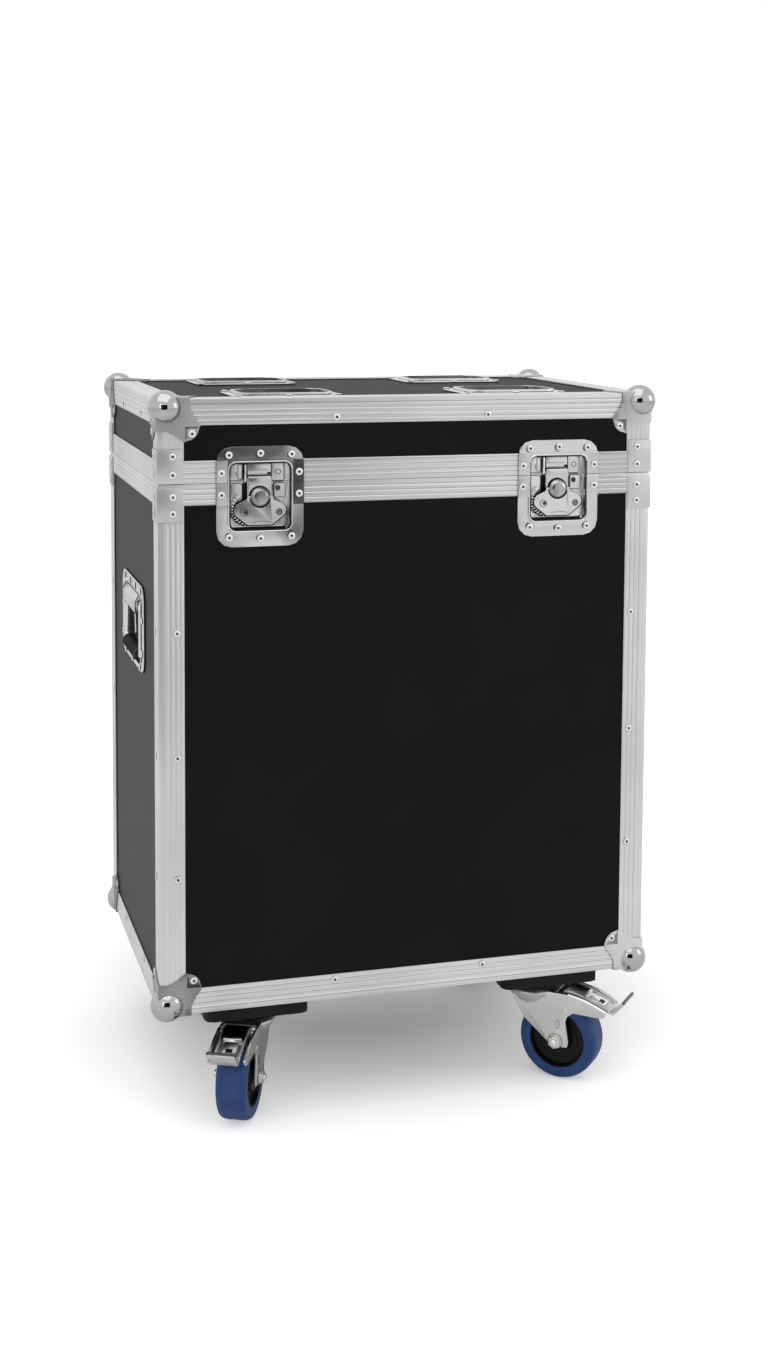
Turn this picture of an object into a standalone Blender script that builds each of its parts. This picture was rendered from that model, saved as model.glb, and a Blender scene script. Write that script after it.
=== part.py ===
"""Road case on castors for a moving head light.

A deep base and a lift-off lid are boxed in ribbed aluminium angle, held shut by four recessed
butterfly latches, carried by two sprung handles and rolled on four braked castors. Metres, +Z up.
The origin is on the floor under the middle of the case, and the front faces -Y.
"""

import math

import bmesh
import bpy
from mathutils import Matrix, Vector

# Sides of round bars, pins and nuts
BAR_SIDES = 12
PIN_SIDES = 8
NUT_SIDES = 6

# Case body
CASE_WIDTH = 0.600
CASE_DEPTH = 0.400
CASE_HEIGHT = 0.714
LID_HEIGHT = 0.0965
PANEL_THICKNESS = 0.009
CLEARANCE = 0.0003
SPLIT_GAP = 0.0004

# Aluminium angle and closing profiles
ANGLE_LEG = 0.030
ANGLE_WALL = 0.0015
GROOVE_WIDTH = 0.0014
GROOVE_DEPTH = 0.0005
GROOVE_PITCH = 0.006
RIM_INNER_WALL = 0.0012
RIM_WEB = 0.002
BASE_RIM_HEIGHT = 0.0245
LID_RIM_HEIGHT = 0.026
RIM_INNER_HEIGHT = 0.018
TONGUE_HEIGHT = 0.006
TONGUE_TAPER = 0.0014
TONGUE_PLAY = 0.0004

# Corner braces across the split
BRACE_LEG = 0.0285
BRACE_HEIGHT = 0.039
BRACE_SHEET = 0.0012
BRACE_GAP = 0.004

# Ball corners
BALL_RADIUS = 0.0195
BALL_INSET = 0.010
CORNER_SHEET = 0.0012
CORNER_LEG = 0.0365
CORNER_LEG_END = 0.010
CORNER_FLANK_OUT = 0.0415
CORNER_FLANK_UP = 0.020
CORNER_EAR = 0.0535
CORNER_EAR_RADIUS = 0.004
BALL_STEPS = 12

# Butterfly latches, measured from the middle of the rotor
LATCH_INSET = 0.118
LATCH_DROP = 0.017
LATCH_WIDTH = 0.102
LATCH_BELOW = 0.057
LATCH_ABOVE = 0.0585
LATCH_CORNER = 0.018
LATCH_SHEET = 0.0012
PAN_WIDTH = 0.072
PAN_BELOW = 0.038
PAN_ABOVE = 0.040
PAN_CORNER = 0.008
ROTOR_RADIUS = 0.0109
ROTOR_FLAT_RADIUS = 0.0065
ROTOR_RISE = 0.0045
ROTOR_SHOULDER = 0.0012
ROTOR_STEPS = 16
PIN_LEVEL = -0.0015
PIN_RADIUS = 0.0011
PIN_PLAY = 0.0003
WING_SHEET = 0.0016
WING_EAR_RADIUS = 0.0017
WING_EAR_WIDTH = 0.0036
WING_EAR_DROP = 0.003
WING_NECK = 0.001
WING_PLAY = 0.0005
WING_REACH = 0.0352
WING_LOBE_RADIUS = 0.009
WING_LOBE_X = 0.0215
WING_LOBE_Y = 0.0152
WING_FOOT = 0.0322
HOOK_SHEET = 0.0018
HOOK_SIDE = 0.0028
HOOK_TIP = 0.0225
HOOK_TRAVEL = 0.008
KEEPER_WIDTH = 0.027
KEEPER_LOW = 0.025
KEEPER_HIGH = 0.0375
BUMP_RADIUS = 0.006
BUMP_TOP_RADIUS = 0.004
BUMP_X = 0.0215
BUMP_BASE_Y = 0.0085
BUMP_LID_Y = 0.029
BUMP_HEIGHT = 0.003

# Sprung handles, measured from the middle of the flange
HANDLE_HEIGHT = 0.428
HANDLE_WIDTH = 0.178
HANDLE_TALL = 0.105
HANDLE_CORNER = 0.020
HANDLE_SHEET = 0.0015
HANDLE_DEPTH = 0.0135
RECESS_WIDTH = 0.136
RECESS_LOW = -0.045
RECESS_HIGH = 0.034
RECESS_CORNER = 0.010
BAIL_SPREAD = 0.120
BAIL_ROD_RADIUS = 0.004
BAIL_BEND = 0.010
BAIL_HINGE_Y = 0.027
BAIL_LENGTH = 0.062
BAIL_LEVEL = -0.002
GRIP_RADIUS = 0.009
GRIP_LENGTH = 0.098
HOOD_WIDTH = 0.106
HOOD_RISE = 0.009
HOOD_SHEET = 0.0016
HOOD_FOOT = 0.0385
HOOD_LIP = 0.0175
HOOD_CHEEK = 0.003
BEARING_PLAY = 0.0003

# Stacking dishes in the lid
DISH_INSET = 0.160
DISH_LENGTH = 0.132
DISH_DEPTH = 0.102
DISH_CORNER = 0.016
DISH_SHEET = 0.0015
DISH_BEAD = 0.004
DISH_BEAD_RISE = 0.003
WELL_LENGTH = 0.106
WELL_WIDTH = 0.072
WELL_DEPTH = 0.012
WELL_CORNER = 0.014

# Castors, measured from the underside of the case at the kingpin
CASTOR_INSET_X = 0.116
CASTOR_INSET_Y = 0.062
CASTOR_HEIGHT = 0.128
BOARD_LENGTH = 0.124
BOARD_DEPTH = 0.116
BOARD_THICKNESS = 0.015
BOARD_CORNER = 0.010
PLATE_LENGTH = 0.105
PLATE_DEPTH = 0.085
PLATE_THICKNESS = 0.003
WHEEL_RADIUS = 0.050
WHEEL_WIDTH = 0.036
HUB_RADIUS = 0.035
HUB_LIP = 0.003
HUB_RECESS = 0.006
TYRE_ROUND = 0.0045
BOSS_RADIUS = 0.013
BOSS_DRAFT = 0.002
WHEEL_STEPS = 20
TRAIL = 0.037
AXLE_RADIUS = 0.006
AXLE_PLAY = 0.0004
NUT_RADIUS = 0.0085
NUT_HEIGHT = 0.005
HEAD_RADIUS = 0.030
CROWN_RADIUS = 0.036
HEAD_DEPTH = 0.013
HEAD_STEPS = 16
FORK_SHEET = 0.003
FORK_GAP = 0.041
FORK_BACK = 0.026
FORK_FRONT = 0.053
SKIRT_DEPTH = 0.016
WHEEL_ROOM = 0.003

# Corners of a fork cheek's edge, out along the trail and up from the axle
CHEEK_HEEL = ((-0.0415, 0.023), (-0.004, -0.007))
CHEEK_TOE = ((0.0155, -0.006), (0.017, 0.001))
CHEEK_THROAT = ((0.013, 0.026), (0.015, 0.033), (0.023, 0.039))
CHEEK_BEAK = ((0.054, 0.039), (0.062, 0.040), (0.066, 0.046), (0.038, 0.0575))

# Brake pedals: their pin from the kingpin, and their outlines out and up from the pin
PEDAL_PIVOT_U = 0.049
PEDAL_PIVOT_DROP = 0.035
PEDAL_PIN_RADIUS = 0.0025
PEDAL_BARREL_RADIUS = 0.006
PEDAL_WIDTH = 0.032
PEDAL_SHEET = 0.0022
PEDAL_PLAY = 0.0003
PEDAL_TREAD = ((-0.004, 0.006), (0.008, 0.004), (0.053, -0.0115), (0.060, -0.0125))
PEDAL_TOE = (0.0745, 0.004)
PEDAL_SIDE = ((-0.004, 0.006), (0.008, 0.0065), (0.053, -0.009), (0.053, -0.0135), (0.008, -0.003))
PEDAL_SIDE_FOOT = (-0.004, -0.003)
SHOE_NEAR = 0.006
SHOE_FAR = 0.018
SHOE_DROP = 0.009
CASTOR_HEADINGS = {
    "front_left": -116.0,
    "front_right": -42.0,
    "rear_left": 116.0,
    "rear_right": 42.0,
}

# Foam on the floor of the base
FOAM_THICKNESS = 0.020
FOAM_PLAY = 0.001

# What follows from the sizes above
CASE_BOTTOM = CASTOR_HEIGHT + BOARD_THICKNESS
CASE_TOP = CASE_BOTTOM + CASE_HEIGHT
SPLIT = CASE_TOP - LID_HEIGHT
BASE_RIM_TOP = SPLIT - SPLIT_GAP / 2
LID_RIM_BOTTOM = SPLIT + SPLIT_GAP / 2
HALF_WIDTH = CASE_WIDTH / 2
HALF_DEPTH = CASE_DEPTH / 2
PANEL_RECESS = ANGLE_WALL + CLEARANCE
PANEL_BACK = PANEL_RECESS + PANEL_THICKNESS
RIM_SLOT_BACK = PANEL_BACK + CLEARANCE
RIM_BACK = RIM_SLOT_BACK + RIM_INNER_WALL
SEAT = -PANEL_RECESS + CLEARANCE
LATCH_Z = SPLIT - LATCH_DROP
PAN_BACK = -(PANEL_BACK - CLEARANCE)
PAN_FLOOR = PAN_BACK + LATCH_SHEET
HOOK_TOP = PIN_LEVEL - WING_EAR_RADIUS - CLEARANCE
KEEPER_TOP = HOOK_TOP - HOOK_SHEET - CLEARANCE
LATCH_OFFSET = HALF_WIDTH - LATCH_INSET
CASTOR_X = HALF_WIDTH - CASTOR_INSET_X
CASTOR_Y = HALF_DEPTH - CASTOR_INSET_Y
DISH_OFFSET = HALF_WIDTH - DISH_INSET
DISH_ROW = HALF_DEPTH - ANGLE_LEG - CLEARANCE - DISH_DEPTH / 2
AXLE_DROP = CASE_BOTTOM - WHEEL_RADIUS
HEAD_TOP = -(BOARD_THICKNESS + PLATE_THICKNESS + CLEARANCE)
CROWN_TOP = HEAD_TOP - HEAD_DEPTH
CORNER_SIGNS = {
    "front_left": (-1, -1),
    "front_right": (1, -1),
    "rear_left": (-1, 1),
    "rear_right": (1, 1),
}

CASE_NAME = "moving_head_case"
ALUMINIUM = ((0.62, 0.63, 0.64), 0.35, 1.0)
STEEL = ((0.48, 0.48, 0.48), 0.30, 1.0)
CHROME = ((0.75, 0.75, 0.75), 0.10, 1.0)
PANEL_FINISH = ((0.014, 0.014, 0.014), 0.55, 0.0)
BOARD_FINISH = ((0.010, 0.010, 0.011), 0.60, 0.0)
TYRE_FINISH = ((0.022, 0.070, 0.240), 0.50, 0.0)
FOAM_FINISH = ((0.020, 0.020, 0.022), 0.95, 0.0)


def clear_scene():
    """Empty the scene and make the two collections."""
    for obj in list(bpy.data.objects):
        bpy.data.objects.remove(obj, do_unlink=True)
    parts = bpy.data.collections.new(CASE_NAME)
    cutters = bpy.data.collections.new("cutters")
    bpy.context.scene.collection.children.link(parts)
    bpy.context.scene.collection.children.link(cutters)
    return parts, cutters


PARTS, CUTTERS = clear_scene()


def helper(name, mesh):
    """An object that only shapes others, kept out of the render."""
    obj = bpy.data.objects.new(name, mesh)
    obj.hide_render = True
    obj.display_type = "WIRE"
    CUTTERS.objects.link(obj)
    return obj


def settled(obj):
    """The object's evaluated mesh. The object and what shaped it are removed."""
    bpy.context.view_layer.update()
    graph = bpy.context.evaluated_depsgraph_get()
    mesh = bpy.data.meshes.new_from_object(obj.evaluated_get(graph))
    mesh.transform(obj.matrix_world)
    shapers = [modifier.object for modifier in obj.modifiers if modifier.type == "BOOLEAN"]
    for used in shapers + [obj]:
        bpy.data.objects.remove(used, do_unlink=True)
    return mesh


def from_bmesh(name, bm):
    mesh = bpy.data.meshes.new(name)
    bmesh.ops.recalc_face_normals(bm, faces=bm.faces)
    bm.to_mesh(mesh)
    bm.free()
    return helper(name, mesh)


def block(name, low, high):
    """A box between two opposite corners."""
    low, high = Vector(low), Vector(high)
    bm = bmesh.new()
    bmesh.ops.create_cube(bm, size=1)
    bmesh.ops.scale(bm, vec=high - low, verts=bm.verts)
    bmesh.ops.translate(bm, vec=(low + high) / 2, verts=bm.verts)
    return from_bmesh(name, bm)


def rod(name, radius, start, end, sides, end_radius=None):
    """A round bar or a taper from start to end, with a corner of its section at the bottom."""
    start, end = Vector(start), Vector(end)
    bm = bmesh.new()
    bmesh.ops.create_cone(
        bm,
        cap_ends=True,
        segments=sides,
        radius1=radius,
        radius2=radius if end_radius is None else end_radius,
        depth=(end - start).length,
    )
    turn = (end - start).to_track_quat("Z", "Y").to_matrix().to_4x4()
    bmesh.ops.transform(bm, matrix=Matrix.Translation((start + end) / 2) @ turn, verts=bm.verts)
    return from_bmesh(name, bm)


def extrusion(name, loops, low, high, frame=Matrix()):
    """A flat outline, with any holes after it, drawn out from low to high along its own normal."""
    curve = bpy.data.curves.new(name, "CURVE")
    curve.dimensions = "2D"
    curve.fill_mode = "BOTH"
    curve.extrude = (high - low) / 2
    for loop in loops:
        spline = curve.splines.new("POLY")
        spline.points.add(len(loop) - 1)
        spline.use_cyclic_u = True
        for point, (x, y) in zip(spline.points, loop):
            point.co = (x, y, 0, 1)
    mesh = settled(helper(name, curve))
    bm = bmesh.new()
    bm.from_mesh(mesh)
    bmesh.ops.remove_doubles(bm, verts=bm.verts, dist=0.000001)
    bmesh.ops.transform(bm, matrix=frame @ Matrix.Translation((0, 0, (low + high) / 2)), verts=bm.verts)
    return from_bmesh(name, bm)


def turned(name, profile, steps):
    """A profile of (radius, height) turned about Z."""
    mesh = bpy.data.meshes.new(name)
    mesh.from_pydata([(r, 0, z) for r, z in profile], [(i, i + 1) for i in range(len(profile) - 1)], [])
    obj = helper(name, mesh)
    screw = obj.modifiers.new("turn", "SCREW")
    screw.steps = steps
    screw.render_steps = steps
    screw.use_merge_vertices = True
    screw.merge_threshold = 0.00001
    return helper(name, settled(obj))


def combined(target, operation, others):
    """The target joined with, or cut by, each of the others."""
    for other in others:
        modifier = target.modifiers.new(other.name, "BOOLEAN")
        modifier.operation = operation
        modifier.solver = "EXACT"
        modifier.object = other
    return target


def fused(target, *others):
    return combined(target, "UNION", others)


def cut(target, *others):
    return combined(target, "DIFFERENCE", others)


def arc(centre, radius, start, end, steps):
    """Points on an arc, by angle in degrees."""
    points = []
    for i in range(steps + 1):
        angle = math.radians(start + (end - start) * i / steps)
        points.append((centre[0] + radius * math.cos(angle), centre[1] + radius * math.sin(angle)))
    return points


def rounded(x0, y0, x1, y1, low_radius, high_radius=None, steps=3):
    """A rectangle with its lower and upper corners rounded. A radius of 0 leaves a square corner."""
    high_radius = low_radius if high_radius is None else high_radius
    corners = (
        (x0, y0, 1, 1, low_radius, 180),
        (x1, y0, -1, 1, low_radius, 270),
        (x1, y1, -1, -1, high_radius, 0),
        (x0, y1, 1, -1, high_radius, 90),
    )
    points = []
    for x, y, right, up, radius, start in corners:
        if radius == 0:
            points.append((x, y))
        else:
            points += arc((x + right * radius, y + up * radius), radius, start, start + 90, steps)
    return points


def mirrored(mesh, x, y, z):
    """A copy of the mesh with the given axes turned over, and its faces still pointing out."""
    copy = mesh.copy()
    copy.transform(Matrix.Diagonal((x, y, z, 1)))
    if x * y * z < 0:
        copy.flip_normals()
    return copy


def finish(name, source, finish_values, parent=None, place=Matrix()):
    """The named sub-part, from a mesh or a shaped helper, in its own material and its place in the world."""
    if isinstance(source, bpy.types.Mesh):
        obj = bpy.data.objects.new(name, source.copy())
    else:
        obj = source
        obj.name = name
        CUTTERS.objects.unlink(obj)
        obj.hide_render = False
        obj.display_type = "TEXTURED"
    PARTS.objects.link(obj)
    colour, roughness, metallic = finish_values
    material = bpy.data.materials.new(name)
    material.use_nodes = True
    shader = material.node_tree.nodes["Principled BSDF"]
    shader.inputs["Base Color"].default_value = (*colour, 1)
    shader.inputs["Roughness"].default_value = roughness
    shader.inputs["Metallic"].default_value = metallic
    obj.data.materials.clear()
    obj.data.materials.append(material)
    obj.data.shade_smooth()
    obj.data.set_sharp_from_angle(angle=math.radians(35))
    obj.parent = parent
    obj.matrix_local = parent.matrix_world.inverted() @ place if parent else place
    return obj


def pivot(name, place):
    """An empty on a joint's axis."""
    empty = bpy.data.objects.new(name, None)
    empty.empty_display_size = 0.03
    PARTS.objects.link(empty)
    empty.matrix_world = place
    return empty


# An upright frame: local x stays, y points up and z to the front
UPRIGHT = Matrix(((1, 0, 0, 0), (0, 0, -1, 0), (0, 1, 0, 0), (0, 0, 0, 1)))

# A frame for outlines of (height, distance out) that are drawn out sideways
SIDEWAYS = Matrix(((0, 0, 1, 0), (1, 0, 0, 0), (0, 1, 0, 0), (0, 0, 0, 1)))


def on_face(turn, across, height, out):
    """The frame of a piece on a wall: turn in degrees from the front, out to the wall's outer plane."""
    return (
        Matrix.Rotation(math.radians(turn), 4, "Z")
        @ Matrix.Translation((across, -out, height))
        @ UPRIGHT
    )


# Closing profiles and angles

def grooves(length, first):
    """Places of the ribs' grooves along a leg."""
    places = []
    along = first
    while along < length - GROOVE_PITCH / 2:
        places.append(along)
        along += GROOVE_PITCH
    return places


def grooved_line(along, first):
    """Points of (distance along the leg, depth) down a leg with its grooves."""
    points = []
    for place in grooves(along, first):
        points.append((place - GROOVE_WIDTH / 2, 0))
        points.append((place, GROOVE_DEPTH))
        points.append((place + GROOVE_WIDTH / 2, 0))
    return points


def angle_section():
    """The L section, from its outer corner at the origin, both legs running inwards."""
    leg = grooved_line(ANGLE_LEG, 2 * GROOVE_PITCH)
    outer = [(0, 0)] + leg + [(ANGLE_LEG, 0), (ANGLE_LEG, ANGLE_WALL)]
    inner = [(ANGLE_WALL, ANGLE_WALL), (ANGLE_WALL, ANGLE_LEG), (0, ANGLE_LEG)]
    return outer + inner + [(depth, along) for along, depth in reversed(leg)]


def mitred_ring(name, section):
    """A section of (distance in from the case's faces, height) carried round the case."""
    bm = bmesh.new()
    rows = []
    for x, y in ((-1, -1), (1, -1), (1, 1), (-1, 1)):
        rows.append([bm.verts.new((x * (HALF_WIDTH - a), y * (HALF_DEPTH - a), z)) for a, z in section])
    for row, following in zip(rows, rows[1:] + rows[:1]):
        for i in range(len(section)):
            bm.faces.new((row[i - 1], row[i], following[i], following[i - 1]))
    return from_bmesh(name, bm)


def corner_posts(name, low, high):
    """The four upright angles between two heights."""
    posts = []
    for x, y in CORNER_SIGNS.values():
        section = [(x * (HALF_WIDTH - a), y * (HALF_DEPTH - b)) for a, b in angle_section()]
        posts.append(extrusion(name, [section], low, high))
    return posts


def edge_frame(name, level, direction, posts_end, parent=None):
    """A mitred ring of angle and its four corner posts, as one riveted frame."""
    section = [(a, level + direction * b) for a, b in angle_section()]
    ring = mitred_ring(name, section)
    start = level + direction * (ANGLE_LEG - GROOVE_WIDTH)
    posts = corner_posts("post", min(start, posts_end), max(start, posts_end))
    finish(name, fused(ring, *posts), ALUMINIUM, parent)


def brace(low, high, rim_low, rim_high):
    """Four L-plates over the corners, on a pad on the rim and clear of the angle they overlap."""
    skin = (-CLEARANCE - BRACE_SHEET, -CLEARANCE, BRACE_LEG, low, high)
    pad = (-CLEARANCE - BRACE_SHEET / 2, ANGLE_WALL / 2, BRACE_LEG - BRACE_SHEET, rim_low, rim_high)
    plates = []
    for x, y in CORNER_SIGNS.values():
        for outer, inner, leg, bottom, top in (skin, pad):
            points = [(outer, outer), (leg, outer), (leg, inner), (inner, inner), (inner, leg), (outer, leg)]
            outline = [(x * (HALF_WIDTH - a), y * (HALF_DEPTH - b)) for a, b in points]
            plates.append(extrusion("brace", [outline], bottom, top))
    return plates


def pan_notches(low, high, back, turns=(0, 180)):
    """Cutters for the latches' pans on the front and the rear, down to a depth behind the face."""
    notches = []
    half = PAN_WIDTH / 2 + LATCH_SHEET + CLEARANCE
    for turn in turns:
        for side in (-1, 1):
            notch = block("notch", (-half, low, -back), (half, high, ANGLE_LEG))
            notch.matrix_world = on_face(turn, side * LATCH_OFFSET, 0, HALF_DEPTH)
            notches.append(notch)
    return notches


def base_rim():
    tongue_out = ANGLE_WALL + TONGUE_PLAY
    tongue_in = RIM_SLOT_BACK - TONGUE_PLAY
    face = [(depth, along - BASE_RIM_HEIGHT) for along, depth in grooved_line(BASE_RIM_HEIGHT, GROOVE_PITCH)]
    section = [(0, -BASE_RIM_HEIGHT)] + face + [
        (0, 0),
        (tongue_out, 0),
        (tongue_out + TONGUE_TAPER, TONGUE_HEIGHT),
        (tongue_in - TONGUE_TAPER, TONGUE_HEIGHT),
        (tongue_in, 0),
        (RIM_BACK, 0),
        (RIM_BACK, -RIM_INNER_HEIGHT),
        (RIM_SLOT_BACK, -RIM_INNER_HEIGHT),
        (RIM_SLOT_BACK, -RIM_WEB),
        (ANGLE_WALL, -RIM_WEB),
        (ANGLE_WALL, -BASE_RIM_HEIGHT),
    ]
    ring = mitred_ring("rim", [(a, BASE_RIM_TOP + z) for a, z in section])
    top = BASE_RIM_TOP - BRACE_GAP
    rim_low = BASE_RIM_TOP - BASE_RIM_HEIGHT
    fused(ring, *brace(top - BRACE_HEIGHT, top, rim_low + BRACE_SHEET, top - BRACE_SHEET))
    notch_back = (PANEL_BACK + RIM_SLOT_BACK) / 2
    cut(ring, *pan_notches(SPLIT - LID_HEIGHT, CASE_TOP, notch_back))
    finish("base_rim_profile", ring, ALUMINIUM)


def lid_rim(parent):
    web = TONGUE_HEIGHT + TONGUE_PLAY
    face = [(depth, along) for along, depth in grooved_line(LID_RIM_HEIGHT, GROOVE_PITCH)]
    section = [(0, 0)] + face + [
        (0, LID_RIM_HEIGHT),
        (ANGLE_WALL, LID_RIM_HEIGHT),
        (ANGLE_WALL, web + RIM_WEB),
        (RIM_SLOT_BACK, web + RIM_WEB),
        (RIM_SLOT_BACK, LID_RIM_HEIGHT),
        (RIM_BACK, LID_RIM_HEIGHT),
        (RIM_BACK, 0),
        (RIM_SLOT_BACK, 0),
        (RIM_SLOT_BACK, web),
        (ANGLE_WALL, web),
        (ANGLE_WALL, 0),
    ]
    ring = mitred_ring("rim", [(a, LID_RIM_BOTTOM + z) for a, z in section])
    bottom = LID_RIM_BOTTOM + CLEARANCE
    rim_high = LID_RIM_BOTTOM + LID_RIM_HEIGHT
    fused(ring, *brace(bottom, bottom + BRACE_HEIGHT, bottom + BRACE_SHEET, rim_high - BRACE_SHEET))
    notch_back = (PANEL_BACK + RIM_SLOT_BACK) / 2
    cut(ring, *pan_notches(SPLIT - LID_HEIGHT, CASE_TOP, notch_back))
    finish("lid_rim_profile", ring, ALUMINIUM, parent)


# Panels

def base_panels():
    """Four walls that stand on the bottom panel and end in the rim's slot."""
    low = CASE_BOTTOM + PANEL_BACK + CLEARANCE
    high = BASE_RIM_TOP - RIM_WEB - CLEARANCE
    outer_x = HALF_WIDTH - PANEL_RECESS
    outer_y = HALF_DEPTH - PANEL_RECESS
    inner_y = HALF_DEPTH - PANEL_BACK
    pan_low = LATCH_Z - PAN_BELOW - LATCH_SHEET - CLEARANCE
    for name, side, turn in (("front", -1, 0), ("rear", 1, 180)):
        ends = sorted((side * outer_y, side * inner_y))
        wall = block(name, (-outer_x, ends[0], low), (outer_x, ends[1], high))
        cut(wall, *pan_notches(pan_low, CASE_TOP, CASE_DEPTH / 4, (turn,)))
        finish(f"base_{name}_panel", wall, PANEL_FINISH)
    half = RECESS_WIDTH / 2 + HANDLE_SHEET + CLEARANCE
    for name, side in (("left", -1), ("right", 1)):
        ends = sorted((side * outer_x, side * (HALF_WIDTH - PANEL_BACK)))
        depth = inner_y - CLEARANCE
        wall = block(name, (ends[0], -depth, low), (ends[1], depth, high))
        opening = block(
            "opening",
            (-half, RECESS_LOW - HANDLE_SHEET - CLEARANCE, -CASE_WIDTH / 4),
            (half, RECESS_HIGH + HANDLE_SHEET + CLEARANCE, CASE_WIDTH / 4),
        )
        opening.matrix_world = handle_frame(side)
        finish(f"base_{name}_panel", cut(wall, opening), PANEL_FINISH)


def bottom_panel():
    """The floor with the castor boards and their steel plates screwed to it."""
    x, y = HALF_WIDTH - PANEL_RECESS, HALF_DEPTH - PANEL_RECESS
    floor = block("floor", (-x, -y, CASE_BOTTOM + PANEL_RECESS), (x, y, CASE_BOTTOM + PANEL_BACK))
    window = HALF_DEPTH - ANGLE_LEG - CLEARANCE
    board_x, board_y = BOARD_LENGTH / 2, BOARD_DEPTH / 2
    plate_x, plate_y = PLATE_LENGTH / 2, PLATE_DEPTH / 2
    board_low = CASE_BOTTOM - BOARD_THICKNESS
    for side_x, side_y in CORNER_SIGNS.values():
        x, y = side_x * CASTOR_X, side_y * CASTOR_Y
        outline = rounded(x - board_x, y - board_y, x + board_x, y + board_y, BOARD_CORNER, steps=2)
        ends = sorted((side_y * window, side_y * (CASTOR_Y - board_y)))
        spacer_x = board_x - BOARD_CORNER
        fused(
            floor,
            extrusion("board", [outline], board_low, CASE_BOTTOM - CLEARANCE),
            block(
                "spacer",
                (x - spacer_x, ends[0], CASE_BOTTOM - BOARD_THICKNESS / 2),
                (x + spacer_x, ends[1], CASE_BOTTOM + 2 * PANEL_RECESS),
            ),
            block(
                "plate",
                (x - plate_x, y - plate_y, board_low - PLATE_THICKNESS),
                (x + plate_x, y + plate_y, board_low + PLATE_THICKNESS),
            ),
        )
    finish("base_bottom_panel", floor, BOARD_FINISH)


def lid_panels(parent):
    top_low = CASE_TOP - PANEL_BACK
    x, y = HALF_WIDTH - PANEL_RECESS, HALF_DEPTH - PANEL_RECESS
    inner_x, inner_y = HALF_WIDTH - PANEL_BACK, HALF_DEPTH - PANEL_BACK
    top = block("top", (-x, -y, top_low), (x, y, CASE_TOP - PANEL_RECESS))
    half_x = WELL_LENGTH / 2 + DISH_SHEET + CLEARANCE
    half_y = WELL_WIDTH / 2 + DISH_SHEET + CLEARANCE
    for side_x, side_y in CORNER_SIGNS.values():
        centre = Vector((side_x * DISH_OFFSET, side_y * DISH_ROW, CASE_TOP))
        reach = Vector((half_x, half_y, ANGLE_LEG))
        cut(top, block("well", centre - reach, centre + reach))
    finish("lid_top_panel", top, PANEL_FINISH, parent)
    low = LID_RIM_BOTTOM + TONGUE_HEIGHT + TONGUE_PLAY + RIM_WEB + CLEARANCE
    walls = extrusion(
        "walls",
        [rounded(-x, -y, x, y, 0), rounded(-inner_x, -inner_y, inner_x, inner_y, 0)],
        low,
        top_low - CLEARANCE,
    )
    pan_high = LATCH_Z + PAN_ABOVE + LATCH_SHEET + CLEARANCE
    cut(walls, *pan_notches(SPLIT - LID_HEIGHT, pan_high, CASE_DEPTH / 8))
    finish("lid_wall_panels", walls, PANEL_FINISH, parent)


def foam_floor():
    x = HALF_WIDTH - PANEL_BACK - FOAM_PLAY
    y = HALF_DEPTH - PANEL_BACK - FOAM_PLAY
    low = CASE_BOTTOM + PANEL_BACK + CLEARANCE
    foam = block("foam", (-x, -y, low), (x, y, low + FOAM_THICKNESS))
    finish("base_foam_floor", foam, FOAM_FINISH)


# Ball corners

def corner_outline():
    """The plate on one face, from the case's corner: two legs, hollow flanks and a riveted ear."""
    edge = -CLEARANCE - CORNER_SHEET
    flank = [(CORNER_LEG, edge), (CORNER_LEG, CORNER_LEG_END), (CORNER_FLANK_OUT, CORNER_FLANK_UP)]
    tip = (CORNER_EAR - CORNER_EAR_RADIUS, ANGLE_LEG + CORNER_EAR_RADIUS / 5)
    half = flank + arc(tip, CORNER_EAR_RADIUS, -50, 45, 2)
    return [(edge, edge)] + half + [(v, u) for u, v in reversed(half)]


def around(vector, turn):
    """The vector with its axes passed on by so many places, from X to Y to Z to X."""
    return vector[-turn:] + vector[:-turn]


def corner_mesh():
    """A ball corner on the corner at the origin, with the case running to +X, +Y and +Z."""
    bm = bmesh.new()
    bmesh.ops.create_uvsphere(bm, u_segments=BALL_STEPS, v_segments=BALL_STEPS // 2, radius=BALL_RADIUS)
    bmesh.ops.translate(bm, vec=(BALL_INSET, BALL_INSET, BALL_INSET), verts=bm.verts)
    ball = from_bmesh("ball", bm)
    far = CORNER_EAR + ANGLE_LEG
    case = block("case", (-CLEARANCE,) * 3, (far,) * 3)
    outer = -CLEARANCE - CORNER_SHEET
    pocket = ANGLE_LEG + CLEARANCE
    for turn in range(3):
        axes = [around(axis, turn) for axis in ((1, 0, 0), (0, 1, 0), (0, 0, 1))]
        frame = Matrix([[axis[row] for axis in axes] + [0] for row in range(3)] + [[0, 0, 0, 1]])
        fused(ball, extrusion("plate", [corner_outline()], outer, -SEAT, frame))
        low, high = (pocket, pocket, -far), (2 * far, 2 * far, -SEAT)
        cut(case, block("pocket", around(low, turn), around(high, turn)))
    cut(ball, helper("case", settled(case)))
    step = pocket + CORNER_SHEET
    for turn in range(3):
        low, high = (step, step, -far), (far, far, -SEAT - CORNER_SHEET)
        cut(ball, block("step", around(low, turn), around(high, turn)))
    return settled(ball)


def corners(prefix, level, up, parent=None):
    """Four ball corners at one end of the case. up is 1 at the bottom and -1 at the top."""
    mesh = corner_mesh()
    for name, (x, y) in CORNER_SIGNS.items():
        place = Matrix.Translation((x * HALF_WIDTH, y * HALF_DEPTH, level))
        finish(f"{prefix}_{name}_ball_corner", mirrored(mesh, -x, -y, up), CHROME, parent, place)


# Butterfly latches

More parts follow.
